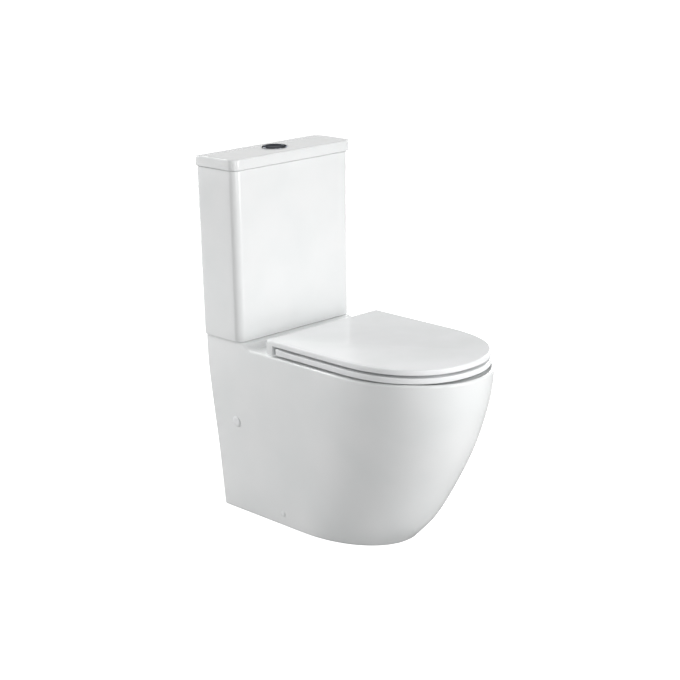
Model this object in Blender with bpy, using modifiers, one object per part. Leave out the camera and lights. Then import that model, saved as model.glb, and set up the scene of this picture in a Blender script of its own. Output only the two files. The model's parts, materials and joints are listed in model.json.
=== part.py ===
"""Close coupled toilet: skirted pan, slim tank with dual flush, slim seat and cover.

Frame: X to the right for someone facing the toilet from the front, Y towards the wall,
Z up, origin on the floor under the middle of the whole object.  Left is -X.
Places along the toilet are given as a distance from the wall and turned into Y by at().
"""
import math

import bmesh
import bpy
from mathutils import Matrix, Vector

# ---------------------------------------------------------------- driving dimensions, metres
DEPTH = 0.6832             # wall to the nose of the pan
WALL_Y = DEPTH / 2
GAP = 0.0003               # left between neighbours that rest on each other
SIDES = 20                 # facets of small round pieces

# Pan: height, half width, nose from the wall, end of the straight side from the wall
PAN_STATIONS = (
    (0.000, 0.1305, 0.473, 0.267),
    (0.060, 0.1365, 0.532, 0.289),
    (0.150, 0.1455, 0.591, 0.322),
    (0.250, 0.1580, 0.642, 0.357),
    (0.350, 0.1695, 0.674, 0.391),
    (0.420, 0.1735, 0.684, 0.417),
)
PAN_EXPONENT = (2.07, 2.21)     # roundness of the nose at the floor and at the rim
PAN_TOP = 0.420
PAN_REAR_NARROWING = 0.006      # per side at the wall, at the rim
PAN_EDGE = 0.006                # rounding of the rim
PAN_WALL = 0.012
DECK_UNDERSIDE = 0.396
LEDGE_TOP = 0.429               # the tank stands here
LEDGE_FRONT = 0.134
LEDGE_STEP = 0.012              # length of the S curve down to the deck

# Bowl: height, middle from the wall, half width, half length
BOWL_STATIONS = (
    (0.112, 0.388, 0.030, 0.036),
    (0.130, 0.395, 0.046, 0.055),
    (0.170, 0.415, 0.066, 0.085),
    (0.220, 0.440, 0.092, 0.120),
    (0.280, 0.458, 0.112, 0.148),
    (0.340, 0.466, 0.120, 0.160),
    (0.400, 0.470, 0.121, 0.165),
    (0.420, 0.470, 0.122, 0.168),
)
BOWL_EXPONENT = 2.2
# Trapway centre line: distance from the wall, height
TRAP_ROUTE = ((0.392, 0.132), (0.345, 0.126), (0.290, 0.150), (0.255, 0.200), (0.215, 0.245),
              (0.175, 0.226), (0.140, 0.192), (0.105, 0.180), (0.060, 0.180))
TRAP_BORE = 0.026
TRAP_WALL = 0.011
CAST_GAP = 0.0003               # between pan, bowl and trapway, which are cast apart and stuck together
INLET_BLOCK_TOP = 0.402
OUTLET_HEIGHT = 0.180
OUTLET_RADIUS = 0.051
OUTLET_BORE = 0.040
OUTLET_END = 0.030              # the spigot stops this far from the wall
INLET_HEIGHT = 0.378            # flush water enters the bowl here
INLET_BORE = 0.016

# Tank and lid
TANK_BOTTOM = 0.4305
TANK_TOP = 0.8257
TANK_HALF_WIDTH = (0.1745, 0.1785)      # at the bottom and at the top
TANK_FRONT = (0.1255, 0.130)
TANK_WALL = 0.010
TANK_FLOOR = 0.012
LID_BOTTOM = 0.826
LID_TOP = 0.850
LID_HALF_WIDTH = 0.183
LID_FRONT = 0.134
LID_WALL = 0.010
CORNER_FRONT = 0.020            # plan radius of the tank's and the lid's front corners
CORNER_BACK = 0.006

# Flush gear
FLUSH_D = 0.066                 # centre line of button and flush valve, from the wall
BUTTON_RADIUS = 0.0228
BUTTON_SPLIT_X = 0.004          # the full flush half is the larger one, on the left
ROD_X = {"full": -0.010, "half": 0.0135}
ROD_RADIUS = 0.003
CAGE_TOP = 0.645
TUBE_TOP = 0.600
BOLT_X = 0.078
FILL_X = 0.115
LEVER_PIVOT_X = 0.142
LEVER_Z = 0.676

# Seat and cover
SEAT_HALF_WIDTH = 0.173
SEAT_EXPONENT = 2.22
SEAT_STRAIGHT = 0.4515
SEAT_NOSE = 0.6655
SEAT_BACK = 0.2406
SEAT_BOTTOM = 0.426
SEAT_TOP = 0.442
SEAT_HOLE = (0.462, 0.110, 0.148)       # middle from the wall, half width, half length
COVER_BACK = 0.213
COVER_BOTTOM = 0.4455
COVER_TOP = 0.458
COVER_STRIP_FRONT = 0.232               # the part that wraps down behind the seat ring
COVER_STRIP_BOTTOM = 0.424
HINGE_D = 0.226
HINGE_Z = 0.437
HINGE_X = 0.078
HINGE_BARREL = 0.0075
PIN_RADIUS = 0.0045

# Fixings
ACCESS_CAP = (0.079, 0.231, 0.013, 0.0105)      # from the wall, height, flange and stem radius
SCREW_CAP = (0.208, 0.031, 0.0072, 0.0042)
BRACKET_OUTER_X = 0.112

SIDE_NAMES = ((-1, "left"), (1, "right"))


def at(from_wall):
    """The Y of a place given as its distance from the wall."""
    return WALL_Y - from_wall


# ---------------------------------------------------------------- scene and materials
for old in list(bpy.data.objects):
    bpy.data.objects.remove(old, do_unlink=True)


def new_collection(name):
    collection = bpy.data.collections.new(name)
    bpy.context.scene.collection.children.link(collection)
    return collection


parts = new_collection("close_coupled_toilet")
cutters = new_collection("cutters")


def material(name, colour, roughness, metallic=0.0):
    made = bpy.data.materials.new(name)
    made.use_nodes = True
    shader = made.node_tree.nodes["Principled BSDF"]
    shader.inputs["Base Color"].default_value = (*colour, 1.0)
    shader.inputs["Roughness"].default_value = roughness
    shader.inputs["Metallic"].default_value = metallic
    made.diffuse_color = (*colour, 1.0)
    return made


china = material("vitreous_china", (0.86, 0.87, 0.87), 0.08)
seat_plastic = material("seat_plastic", (0.84, 0.85, 0.85), 0.18)
chrome = material("chrome", (0.82, 0.83, 0.84), 0.06, 1.0)
white_plastic = material("valve_plastic", (0.80, 0.80, 0.78), 0.40)
blue_plastic = material("float_plastic", (0.16, 0.30, 0.55), 0.42)
rubber = material("rubber", (0.03, 0.03, 0.03), 0.75)
clear_rubber = material("bumper_rubber", (0.70, 0.71, 0.70), 0.55)
steel = material("stainless_steel", (0.60, 0.60, 0.58), 0.28, 1.0)
brass = material("brass", (0.70, 0.55, 0.25), 0.30, 1.0)


# ---------------------------------------------------------------- modelling helpers
def add_object(name, mesh, finish=None):
    """A named object: a part when it has a finish, otherwise a cutter."""
    thing = bpy.data.objects.new(name, mesh)
    if finish is None:
        cutters.objects.link(thing)
        thing.hide_render = True
        thing.display_type = "WIRE"
    else:
        parts.objects.link(thing)
        mesh.materials.append(finish)
    return thing


def from_bmesh(name, bm, finish=None, smooth=True):
    bmesh.ops.recalc_face_normals(bm, faces=bm.faces)
    mesh = bpy.data.meshes.new(name)
    bm.to_mesh(mesh)
    bm.free()
    if smooth:
        mesh.shade_smooth()
        mesh.set_sharp_from_angle(angle=math.radians(35))
    return add_object(name, mesh, finish)


def box(name, x, d, z, finish=None):
    """A box between two X, two distances from the wall and two heights."""
    bm = bmesh.new()
    bmesh.ops.create_cube(bm, size=1.0)
    size = Vector((x[1] - x[0], d[1] - d[0], z[1] - z[0]))
    middle = Vector((sum(x) / 2, at(sum(d) / 2), sum(z) / 2))
    bmesh.ops.scale(bm, vec=size, verts=bm.verts)
    bmesh.ops.translate(bm, vec=middle, verts=bm.verts)
    return from_bmesh(name, bm, finish, smooth=False)


def rod(name, start, end, radius, finish=None, sides=SIDES, end_radius=None):
    """A straight round bar between two points."""
    start, end = Vector(start), Vector(end)
    run = end - start
    bm = bmesh.new()
    turn = run.to_track_quat("Z", "X").to_matrix().to_4x4()
    place = Matrix.Translation((start + end) / 2) @ turn
    bmesh.ops.create_cone(bm, cap_ends=True, segments=sides, radius1=radius,
                          radius2=radius if end_radius is None else end_radius,
                          depth=run.length, matrix=place)
    return from_bmesh(name, bm, finish)


def turned(name, profile, x, d, finish=None, closed=True, sides=SIDES):
    """A profile of (radius, height) points, down its outer side first, spun about Z."""
    mesh = bpy.data.meshes.new(name)
    count = len(profile)
    edges = [(i, (i + 1) % count) for i in range(count if closed else count - 1)]
    mesh.from_pydata([(r, 0.0, z) for r, z in profile], edges, [])
    thing = add_object(name, mesh, finish)
    thing.location = (x, at(d), 0.0)
    spin = thing.modifiers.new("turn", "SCREW")
    spin.axis = "Z"
    spin.steps = spin.render_steps = sides
    spin.use_merge_vertices = True
    spin.merge_threshold = 0.00002
    return thing


def ring(name, outer, inner, bottom, top, x, d, finish=None, sides=SIDES):
    profile = ((outer, top), (outer, bottom), (inner, bottom), (inner, top))
    return turned(name, profile, x, d, finish, sides=sides)


def tube(name, route, radius, finish=None):
    """A round bar along a smooth route of (from wall, height) points in the middle plane."""
    curve = bpy.data.curves.new(name, "CURVE")
    curve.dimensions = "3D"
    curve.resolution_u = 4
    curve.bevel_depth = radius
    curve.bevel_resolution = 4
    curve.use_fill_caps = True
    spline = curve.splines.new("BEZIER")
    spline.bezier_points.add(len(route) - 1)
    for point, (d, z) in zip(spline.bezier_points, route):
        point.co = (0.0, at(d), z)
        point.handle_left_type = point.handle_right_type = "AUTO"
    source = bpy.data.objects.new(name + "_route", curve)
    bpy.context.scene.collection.objects.link(source)
    bpy.context.view_layer.update()
    graph = bpy.context.evaluated_depsgraph_get()
    mesh = bpy.data.meshes.new_from_object(source.evaluated_get(graph))
    bpy.data.objects.remove(source, do_unlink=True)
    bm = bmesh.new()
    bm.from_mesh(mesh)
    bmesh.ops.remove_doubles(bm, verts=bm.verts, dist=0.00002)
    return from_bmesh(name, bm, finish)


def loft(name, sections, finish=None):
    """A solid through sections that all have the same number of points."""
    bm = bmesh.new()
    loops = [[bm.verts.new(point) for point in section] for section in sections]
    count = len(loops[0])
    for low, high in zip(loops, loops[1:]):
        for i in range(count):
            j = (i + 1) % count
            bm.faces.new((low[i], low[j], high[j], high[i]))
    bm.faces.new(loops[0])
    bm.faces.new(loops[-1])
    return from_bmesh(name, bm, finish)


def boolean(target, operation, *tools):
    for tool in tools:
        step = target.modifiers.new(tool.name, "BOOLEAN")
        step.operation = operation
        step.solver = "EXACT"
        step.object = tool


def cut(target, *tools):
    boolean(target, "DIFFERENCE", *tools)


def join(target, *tools):
    boolean(target, "UNION", *tools)


def pivot(name, x, d, z):
    """An empty on a joint's axis, which carries the pieces that move with it."""
    empty = bpy.data.objects.new(name, None)
    empty.empty_display_size = 0.03
    empty.location = (x, at(d), z)
    parts.objects.link(empty)
    return empty


def carry(empty, *things):
    for thing in things:
        thing.parent = empty
        thing.matrix_parent_inverse = Matrix.Translation(-empty.location)


# ---------------------------------------------------------------- outlines
def through(stations, height):
    """The values at a height, on a smooth curve through the stations."""
    last = len(stations) - 1
    heights = [station[0] for station in stations]
    height = min(max(height, heights[0]), heights[-1])
    i = max(k for k in range(last) if heights[k] <= height)
    span = heights[i + 1] - heights[i]
    t = (height - heights[i]) / span

    def slope(k, column):
        low, high = max(k - 1, 0), min(k + 1, last)
        return (stations[high][column] - stations[low][column]) / (heights[high] - heights[low])

    values = []
    for column in range(1, len(stations[0])):
        a, b = stations[i][column], stations[i + 1][column]
        rise_a, rise_b = slope(i, column) * span, slope(i + 1, column) * span
        values.append((2 * t**3 - 3 * t**2 + 1) * a + (t**3 - 2 * t**2 + t) * rise_a
                      + (3 * t**2 - 2 * t**3) * b + (t**3 - t**2) * rise_b)
    return values


def power(value, exponent):
    return math.copysign(abs(value) ** exponent, value)


def d_outline(half_width, back, straight, nose, exponent, narrowing=0.0, steps=20, side=3):
    """A D in plan: straight back, almost straight sides, superellipse nose; (x, from wall)."""
    front = []
    for i in range(steps + 1):
        angle = math.pi * i / steps - math.pi / 2
        reach = power(max(math.cos(angle), 0.0), 2 / exponent)
        front.append((half_width * power(math.sin(angle), 2 / exponent),
                      straight + (nose - straight) * reach))
    rear = []
    for i in range(side):
        d = back + (straight - back) * i / side
        x = half_width - narrowing * (1 - d / straight) ** 2
        rear.append((x, d))
    left = [(-x, d) for x, d in rear]
    return left + front + rear[::-1]


def oval(half_width, middle, half_length, exponent, steps=28):
    outline = []
    for i in range(steps):
        angle = 2 * math.pi * i / steps
        outline.append((half_width * power(math.cos(angle), 2 / exponent),
                        middle + half_length * power(math.sin(angle), 2 / exponent)))
    return outline


def rounded_box_outline(half_width, back, front, back_radius, front_radius, steps=5):
    outline = []
    corners = ((1, front, front_radius, 0), (-1, front, front_radius, 1),
               (-1, back, back_radius, 2), (1, back, back_radius, 3))
    for sign, edge, radius, quarter in corners:
        centre_x = sign * (half_width - radius)
        centre_d = edge - radius if edge == front else edge + radius
        for i in range(steps + 1):
            angle = (quarter + i / steps) * math.pi / 2
            outline.append((centre_x + radius * math.cos(angle),
                            centre_d + radius * math.sin(angle)))
    return outline


def lift(outline, height):
    return [(x, at(d), height) for x, d in outline]


# ---------------------------------------------------------------- pan
def pan_outline(height, inset=0.0, back=0.0):
    half_width, nose, straight = through(PAN_STATIONS, height)
    share = min(max(height / PAN_TOP, 0.0), 1.0)
    exponent = PAN_EXPONENT[0] + (PAN_EXPONENT[1] - PAN_EXPONENT[0]) * share
    return d_outline(half_width - inset, back, straight, nose - inset, exponent,
                     PAN_REAR_NARROWING * share)


def pan_side(d, height):
    """Half width of the pan on its almost straight side."""
    half_width, _, straight = through(PAN_STATIONS, height)
    return half_width - PAN_REAR_NARROWING * height / PAN_TOP * (1 - d / straight) ** 2


def pan_side_frame(side, d, height):
    """A point on the pan's side and the outward direction there."""
    step = 0.002
    rise = (pan_side(d, height + step) - pan_side(d, height - step)) / (2 * step)
    run = (pan_side(d + step, height) - pan_side(d - step, height)) / (2 * step)
    point = Vector((side * pan_side(d, height), at(d), height))
    outward = Vector((side, run, -rise)).normalized()
    return point, outward


def build_pan():
    rounding = [(0.0, 0.004), (0.0015, 0.0015), (0.006, 0.0)]
    rounding += [(z, 0.0) for z in (0.040, 0.085, 0.135, 0.190, 0.250, 0.310, 0.365, 0.400)]
    for i in range(4):
        angle = math.radians(30 * i)
        rounding.append((PAN_TOP - PAN_EDGE * (1 - math.sin(angle)),
                         PAN_EDGE * (1 - math.cos(angle))))
    pan = loft("pan", [lift(pan_outline(z, inset), z) for z, inset in rounding], china)

    cavity_heights = (-0.001, 0.040, 0.085, 0.135, 0.190, 0.250, 0.310, 0.365, DECK_UNDERSIDE)
    skirt_space = loft("skirt_space",
                       [lift(pan_outline(z, PAN_WALL, -0.001), z) for z in cavity_heights])
    cut(pan, skirt_space)

    inlet = box("inlet_block", (-0.062, 0.062), (0.004, 0.128), (0.352, INLET_BLOCK_TOP))
    join(inlet, box("inlet_channel_wall", (-0.030, 0.030), (0.110, 0.320), (0.354, 0.401)))
    cut(inlet, build_bowl("bowl_room", PAN_WALL + CAST_GAP, INLET_BLOCK_TOP + 0.002))
    join(pan, build_ledge(), inlet)

    cut(pan, build_bowl("deck_hole", 0.0, PAN_TOP),
        rod("gasket_recess", (0, at(FLUSH_D), 0.409), (0, at(FLUSH_D), 0.440), 0.050, sides=28),
        rod("inlet_drop", (0, at(FLUSH_D), 0.366), (0, at(FLUSH_D), 0.410), 0.029),
        inlet_channel(),
        rod("fill_hole", (FILL_X, at(FLUSH_D), 0.380), (FILL_X, at(FLUSH_D), 0.440), 0.021))
    for side, name in SIDE_NAMES:
        cut(pan, rod("tank_bolt_hole_" + name, (side * BOLT_X, at(FLUSH_D), 0.380),
                     (side * BOLT_X, at(FLUSH_D), 0.440), 0.0048, sides=12),
            rod("hinge_hole_" + name, (side * HINGE_X, at(HINGE_D), 0.380),
                (side * HINGE_X, at(HINGE_D), 0.430), 0.0055, sides=12))
        for label, (d, z, _, stem) in (("access", ACCESS_CAP), ("screw", SCREW_CAP)):
            point, outward = pan_side_frame(side, d, z)
            cut(pan, rod(label + "_hole_" + name, point - outward * 0.030,
                         point + outward * 0.010, stem + 0.0004, sides=16))
    return pan


def inlet_channel():
    return rod("inlet_channel", (0, at(FLUSH_D), INLET_HEIGHT), (0, at(0.330), INLET_HEIGHT),
               INLET_BORE, sides=14)


def build_bowl_and_trapway():
    bowl = build_bowl("pan_bowl", PAN_WALL, DECK_UNDERSIDE - CAST_GAP, china)
    cut(bowl, build_bowl("bowl_space", 0.0, PAN_TOP), tube("trap_mouth", TRAP_ROUTE, TRAP_BORE),
        inlet_channel())

    trapway = tube("pan_trapway", TRAP_ROUTE, TRAP_BORE + TRAP_WALL, china)
    join(trapway, rod("outlet_wall", (0, at(0.100), OUTLET_HEIGHT),
                      (0, at(OUTLET_END), OUTLET_HEIGHT), OUTLET_RADIUS, sides=28))
    cut(trapway, build_bowl("bowl_seat", PAN_WALL + CAST_GAP, 0.300),
        tube("trap_space", TRAP_ROUTE, TRAP_BORE),
        rod("outlet_space", (0, at(0.085), OUTLET_HEIGHT), (0, at(-0.001), OUTLET_HEIGHT),
            OUTLET_BORE, sides=28))


def build_ledge():
    """The raised shelf under the tank, with an S curve down to the deck."""
    sections = []
    drop = LEDGE_TOP - PAN_TOP + 0.002
    for i in range(7):
        t = max(i - 1, 0) / 5
        d = 0.0 if i == 0 else LEDGE_FRONT + LEDGE_STEP * t
        top = LEDGE_TOP - drop * (3 * t**2 - 2 * t**3)
        half_width = pan_side(d, PAN_TOP) - 0.0005
        low = PAN_TOP - 0.012
        section = [(-half_width, low), (half_width, low)]
        radius = min(0.003, top - low)
        for sign in (1, -1):
            for k in range(3):
                turn = math.radians(45 * k if sign == 1 else 90 - 45 * k)
                section.append((sign * (half_width - radius * (1 - math.cos(turn))),
                                top - radius * (1 - math.sin(turn))))
        sections.append([(x, at(d + (0.0002 if i == 0 else 0.0)), z) for x, z in section])
    return loft("ledge", sections)


def build_bowl(name, wall, top, finish=None):
    sections = []
    if not wall:
        bottom = BOWL_STATIONS[0]
        sections.append(lift(oval(bottom[2] - 0.008, bottom[1], bottom[3] - 0.008,
                                  BOWL_EXPONENT), bottom[0] - 0.004))
    else:
        bottom = BOWL_STATIONS[0]
        sections.append(lift(oval(bottom[2], bottom[1], bottom[3], BOWL_EXPONENT),
                             bottom[0] - wall - 0.003))
    heights = (0.112, 0.130, 0.150, 0.170, 0.195, 0.220, 0.250, 0.280, 0.320, 0.365, 0.400)
    for z in [z for z in heights if z < top - 0.003]:
        middle, half_width, half_length = through(BOWL_STATIONS, z)
        sections.append(lift(oval(half_width + wall, middle, half_length + wall,
                                  BOWL_EXPONENT), z))
    middle, half_width, half_length = through(BOWL_STATIONS, top)
    if wall:
        sections.append(lift(oval(half_width + wall, middle, half_length + wall,
                                  BOWL_EXPONENT), top))
    else:
        sections.append(lift(oval(half_width, middle, half_length, BOWL_EXPONENT), top - 0.005))
        sections.append(lift(oval(half_width + 0.005, middle, half_length + 0.005,
                                  BOWL_EXPONENT), top + 0.002))
    return loft(name, sections, finish)


# ---------------------------------------------------------------- tank and lid
def tank_outline(height, inset=0.0):
    share = (height - TANK_BOTTOM) / (TANK_TOP - TANK_BOTTOM)
    half_width = TANK_HALF_WIDTH[0] + (TANK_HALF_WIDTH[1] - TANK_HALF_WIDTH[0]) * share
    front = TANK_FRONT[0] + (TANK_FRONT[1] - TANK_FRONT[0]) * share
    return rounded_box_outline(half_width - inset, inset, front - inset,
                               max(CORNER_BACK - inset, 0.003), CORNER_FRONT - inset * 0.8)


def build_tank():
    levels = ((TANK_BOTTOM, 0.0035), (TANK_BOTTOM + 0.0012, 0.0012), (TANK_BOTTOM + 0.004, 0.0),
              (TANK_TOP - 0.001, 0.0), (TANK_TOP, 0.001))
    tank = loft("tank", [lift(tank_outline(z, inset), z) for z, inset in levels], china)
    floor = TANK_BOTTOM + TANK_FLOOR
    cavity = loft("tank_space", [lift(tank_outline(z, inset), z) for z, inset in
                                 ((floor, TANK_WALL + 0.005), (floor + 0.005, TANK_WALL),
                                  (TANK_TOP + 0.002, TANK_WALL))])
    cut(tank, cavity)
    low, high = TANK_BOTTOM - 0.005, floor + 0.005
    cut(tank, rod("valve_hole", (0, at(FLUSH_D), low), (0, at(FLUSH_D), high), 0.028),
        rod("fill_hole_tank", (FILL_X, at(FLUSH_D), low), (FILL_X, at(FLUSH_D), high), 0.0115,
            sides=16))
    for side, name in SIDE_NAMES:
        cut(tank, rod("tank_hole_" + name, (side * BOLT_X, at(FLUSH_D), low),
                      (side * BOLT_X, at(FLUSH_D), high), 0.0045, sides=12))
    return tank


def build_lid():
    def outline(inset):
        return rounded_box_outline(LID_HALF_WIDTH - inset, max(inset - 0.002, 0.0),
                                   LID_FRONT - inset, CORNER_BACK, CORNER_FRONT)

    levels = ((LID_BOTTOM, 0.001), (LID_BOTTOM + 0.001, 0.0), (LID_TOP - 0.0030, 0.0),
              (LID_TOP - 0.0008, 0.0008), (LID_TOP, 0.0030))
    lid = loft("tank_lid", [lift(outline(inset), z) for z, inset in levels], china)
    hollow = loft("lid_space", [lift(outline(LID_WALL + 0.002), LID_BOTTOM - 0.002),
                                lift(outline(LID_WALL + 0.002), LID_TOP - LID_WALL)])
    cut(lid, hollow, rod("button_hole", (0, at(FLUSH_D), LID_BOTTOM), (0, at(FLUSH_D), 0.860),
                         0.0255, sides=28))
    return lid


def build_button():
    """Bezel and nut clamp the lid; the two halves slide in the bezel's barrel."""
    flange_top = LID_TOP + 0.0025
    bezel = turned("flush_button_bezel",
                   ((0.0270, flange_top), (0.0290, LID_TOP + 0.0010), (0.0290, LID_TOP + GAP),
                    (0.0246, LID_TOP + GAP), (0.0246, LID_BOTTOM), (0.0232, LID_BOTTOM),
                    (0.0232, flange_top - 0.0005), (0.0245, flange_top)),
                   0.0, FLUSH_D, chrome, sides=32)
    under = LID_TOP - LID_WALL - GAP
    nut = ring("flush_button_nut", 0.033, 0.0249, under - 0.008, under, 0.0, FLUSH_D,
               white_plastic, sides=28)
    halves = []
    for label, near, far in (("full", -0.030, BUTTON_SPLIT_X - 0.0003),
                             ("half", BUTTON_SPLIT_X + 0.0003, 0.030)):
        disc = turned(label + "_flush_button",
                      ((0.0, flange_top - 0.0001), (0.0215, flange_top - 0.0004),
                       (BUTTON_RADIUS, flange_top - 0.0014), (BUTTON_RADIUS, 0.8440),
                       (0.0, 0.8440)),
                      0.0, FLUSH_D, chrome, closed=False, sides=32)
        keep = box(label + "_half_space", (near, far), (FLUSH_D - 0.03, FLUSH_D + 0.03),
                   (0.840, 0.860))
        boolean(disc, "INTERSECT", keep)
        stem = rod(label + "_flush_rod", (ROD_X[label], at(FLUSH_D), 0.8437),
                   (ROD_X[label], at(FLUSH_D), CAGE_TOP - 0.015), ROD_RADIUS, white_plastic,
                   sides=12)
        halves.append((disc, stem))
    return bezel, nut, halves


def build_flush_valve():
    floor = TANK_BOTTOM + TANK_FLOOR
    flange = floor + GAP
    turned("flush_valve_base",
           ((0.039, flange + 0.005), (0.039, flange), (0.026, flange), (0.026, 0.404),
            (0.022, 0.404), (0.022, flange + 0.005)), 0.0, FLUSH_D, white_plastic, sides=28)
    ring("flush_valve_backnut", 0.038, 0.0263, 0.418, TANK_BOTTOM - GAP, 0.0, FLUSH_D,
         white_plastic, sides=28)
    ring("tank_gasket", 0.048, 0.0385, 0.4095, TANK_BOTTOM - GAP, 0.0, FLUSH_D, rubber, sides=28)

    seat = flange + 0.005
    cage = ring("flush_valve_cage", 0.039, 0.028, seat + GAP, seat + 0.006, 0.0, FLUSH_D,
                white_plastic, sides=28)
    plate = rod("cage_plate", (0, at(FLUSH_D), CAGE_TOP - 0.005), (0, at(FLUSH_D), CAGE_TOP),
                0.036, sides=28)
    legs = []
    for i in range(4):
        angle = math.radians(45 + 90 * i)
        x, d = 0.0325 * math.cos(angle), FLUSH_D + 0.0325 * math.sin(angle)
        legs.append(box(f"cage_leg_{i}", (x - 0.0025, x + 0.0025), (d - 0.0025, d + 0.0025),
                        (seat + 0.003, CAGE_TOP - 0.002)))
    join(cage, plate, *legs)
    for label, x in ROD_X.items():
        cut(cage, rod(label + "_guide", (x, at(FLUSH_D), CAGE_TOP - 0.010),
                      (x, at(FLUSH_D), CAGE_TOP + 0.005), 0.0038, sides=12))

    seal = ring("flush_valve_seal", 0.025, 0.0118, seat + GAP, seat + 0.003, 0.0, FLUSH_D,
                rubber, sides=24)
    foot = seat + 0.003 + GAP
    overflow = turned("flush_valve_tube",
                      ((0.015, TUBE_TOP), (0.015, foot + 0.004), (0.0245, foot + 0.004),
                       (0.0245, foot), (0.0118, foot), (0.0118, TUBE_TOP)),
                      0.0, FLUSH_D, blue_plastic, sides=20)
    return overflow, seal


def build_tank_bolts():
    inside = TANK_BOTTOM + TANK_FLOOR + GAP
    for side, name in SIDE_NAMES:
        x = side * BOLT_X
        ring("tank_bolt_seal_" + name, 0.011, 0.0039, inside, inside + 0.003, x, FLUSH_D, rubber)
        turned("tank_bolt_" + name,
               ((0.0, inside + 0.0083), (0.008, inside + 0.0083), (0.008, inside + 0.0033),
                (0.0035, inside + 0.0033), (0.0035, 0.372), (0.0, 0.372)),
               x, FLUSH_D, brass, closed=False, sides=16)
        washer_top = DECK_UNDERSIDE - GAP
        ring("tank_bolt_washer_" + name, 0.011, 0.0038, washer_top - 0.002, washer_top, x,
             FLUSH_D, steel)
        ring("tank_bolt_nut_" + name, 0.0085, 0.0044, washer_top - 0.0103, washer_top - 0.0023,
             x, FLUSH_D, brass, sides=6)


def build_fill_valve():
    inside = TANK_BOTTOM + TANK_FLOOR + GAP
    ring("fill_valve_washer", 0.017, 0.0113, inside, inside + 0.003, FILL_X, FLUSH_D, rubber)
    ring("fill_valve_backnut", 0.017, 0.0119, 0.4205, TANK_BOTTOM - GAP, FILL_X, FLUSH_D,
         white_plastic, sides=8)
    collar = inside + 0.003 + GAP
    body = turned("fill_valve_body",
                  ((0.0, 0.692), (0.0155, 0.690), (0.0155, 0.662), (0.011, 0.655),
                   (0.011, collar + 0.006), (0.017, collar + 0.006), (0.017, collar),
                   (0.0105, collar), (0.0105, 0.398), (0.005, 0.398), (0.005, 0.640),
                   (0.0, 0.645)),
                  FILL_X, FLUSH_D, white_plastic, closed=False)
    lug = box("lever_lug", (0.120, LEVER_PIVOT_X + 0.006), (FLUSH_D + 0.004, FLUSH_D + 0.015),
              (LEVER_Z - 0.006, LEVER_Z + 0.006))
    join(body, lug)
    arm_d = (FLUSH_D + 0.0165, FLUSH_D + 0.0205)
    cut(body, rod("lever_hole", (LEVER_PIVOT_X, at(FLUSH_D + 0.002), LEVER_Z),
                  (LEVER_PIVOT_X, at(FLUSH_D + 0.018), LEVER_Z), 0.0024, sides=12))

    lever = box("fill_valve_lever", (0.096, LEVER_PIVOT_X + 0.004), arm_d,
                (LEVER_Z - 0.004, LEVER_Z + 0.004), blue_plastic)
    join(lever, rod("lever_stub", (LEVER_PIVOT_X, at(FLUSH_D + 0.0045), LEVER_Z),
                    (LEVER_PIVOT_X, at(FLUSH_D + 0.0185), LEVER_Z), 0.0020, sides=12))

    cup = turned("fill_valve_float",
                 ((0.030, 0.620), (0.030, 0.562), (0.028, 0.562), (0.028, 0.617),
                  (0.015, 0.617), (0.015, 0.562), (0.0125, 0.562), (0.0125, 0.620)),
                 FILL_X, FLUSH_D, blue_plastic, sides=24)
    link = (0.100, at(FLUSH_D + 0.0185))
    join(cup, rod("float_link", (*link, 0.6185), (*link, LEVER_Z - 0.0045), 0.002, sides=10))
    return cup, lever


# ---------------------------------------------------------------- seat, cover and hinges
def seat_outline(back, inset=0.0, steps=24):
    return d_outline(SEAT_HALF_WIDTH - inset, back + inset, SEAT_STRAIGHT, SEAT_NOSE - inset,
                     SEAT_EXPONENT, steps=steps, side=2)


def build_seat():
    levels = ((SEAT_BOTTOM, 0.0015), (SEAT_BOTTOM + 0.0015, 0.0), (SEAT_TOP - 0.003, 0.0),
              (SEAT_TOP - 0.0008, 0.0008), (SEAT_TOP, 0.003))
    seat = loft("seat_ring", [lift(seat_outline(SEAT_BACK, inset), z) for z, inset in levels],
                seat_plastic)
    middle, half_width, half_length = SEAT_HOLE
    cut(seat, loft("seat_hole", [lift(oval(half_width + extra, middle, half_length + extra, 2.2), z)
                                 for z, extra in ((SEAT_BOTTOM - 0.002, 0.0),
                                                  (SEAT_TOP - 0.006, 0.0),
                                                  (SEAT_TOP + 0.001, 0.005))]))
    for side, name in SIDE_NAMES:
        lug_x = sorted((side * 0.048, side * (HINGE_X - 0.012)))
        join(seat, box("seat_lug_" + name, lug_x, (HINGE_D, SEAT_BACK + 0.010),
                       (HINGE_Z - 0.006, HINGE_Z + 0.0045)),
             rod("seat_barrel_" + name, (lug_x[0], at(HINGE_D), HINGE_Z),
                 (lug_x[1], at(HINGE_D), HINGE_Z), HINGE_BARREL, sides=16))
    for side, name in SIDE_NAMES:
        cut(seat, rod("seat_pin_hole_" + name, (side * 0.040, at(HINGE_D), HINGE_Z),
                      (side * HINGE_X, at(HINGE_D), HINGE_Z), PIN_RADIUS + 0.0004, sides=16))
    bumpers = []
    for side, name in SIDE_NAMES:
        for place, x, d in (("front", 0.105, 0.590), ("rear", 0.140, 0.330)):
            bumpers.append(rod(f"seat_bumper_{place}_{name}", (side * x, at(d), PAN_TOP + GAP),
                               (side * x, at(d), SEAT_BOTTOM - GAP), 0.0085, clear_rubber,
                               end_radius=0.0095, sides=16))
    return [seat] + bumpers


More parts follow.
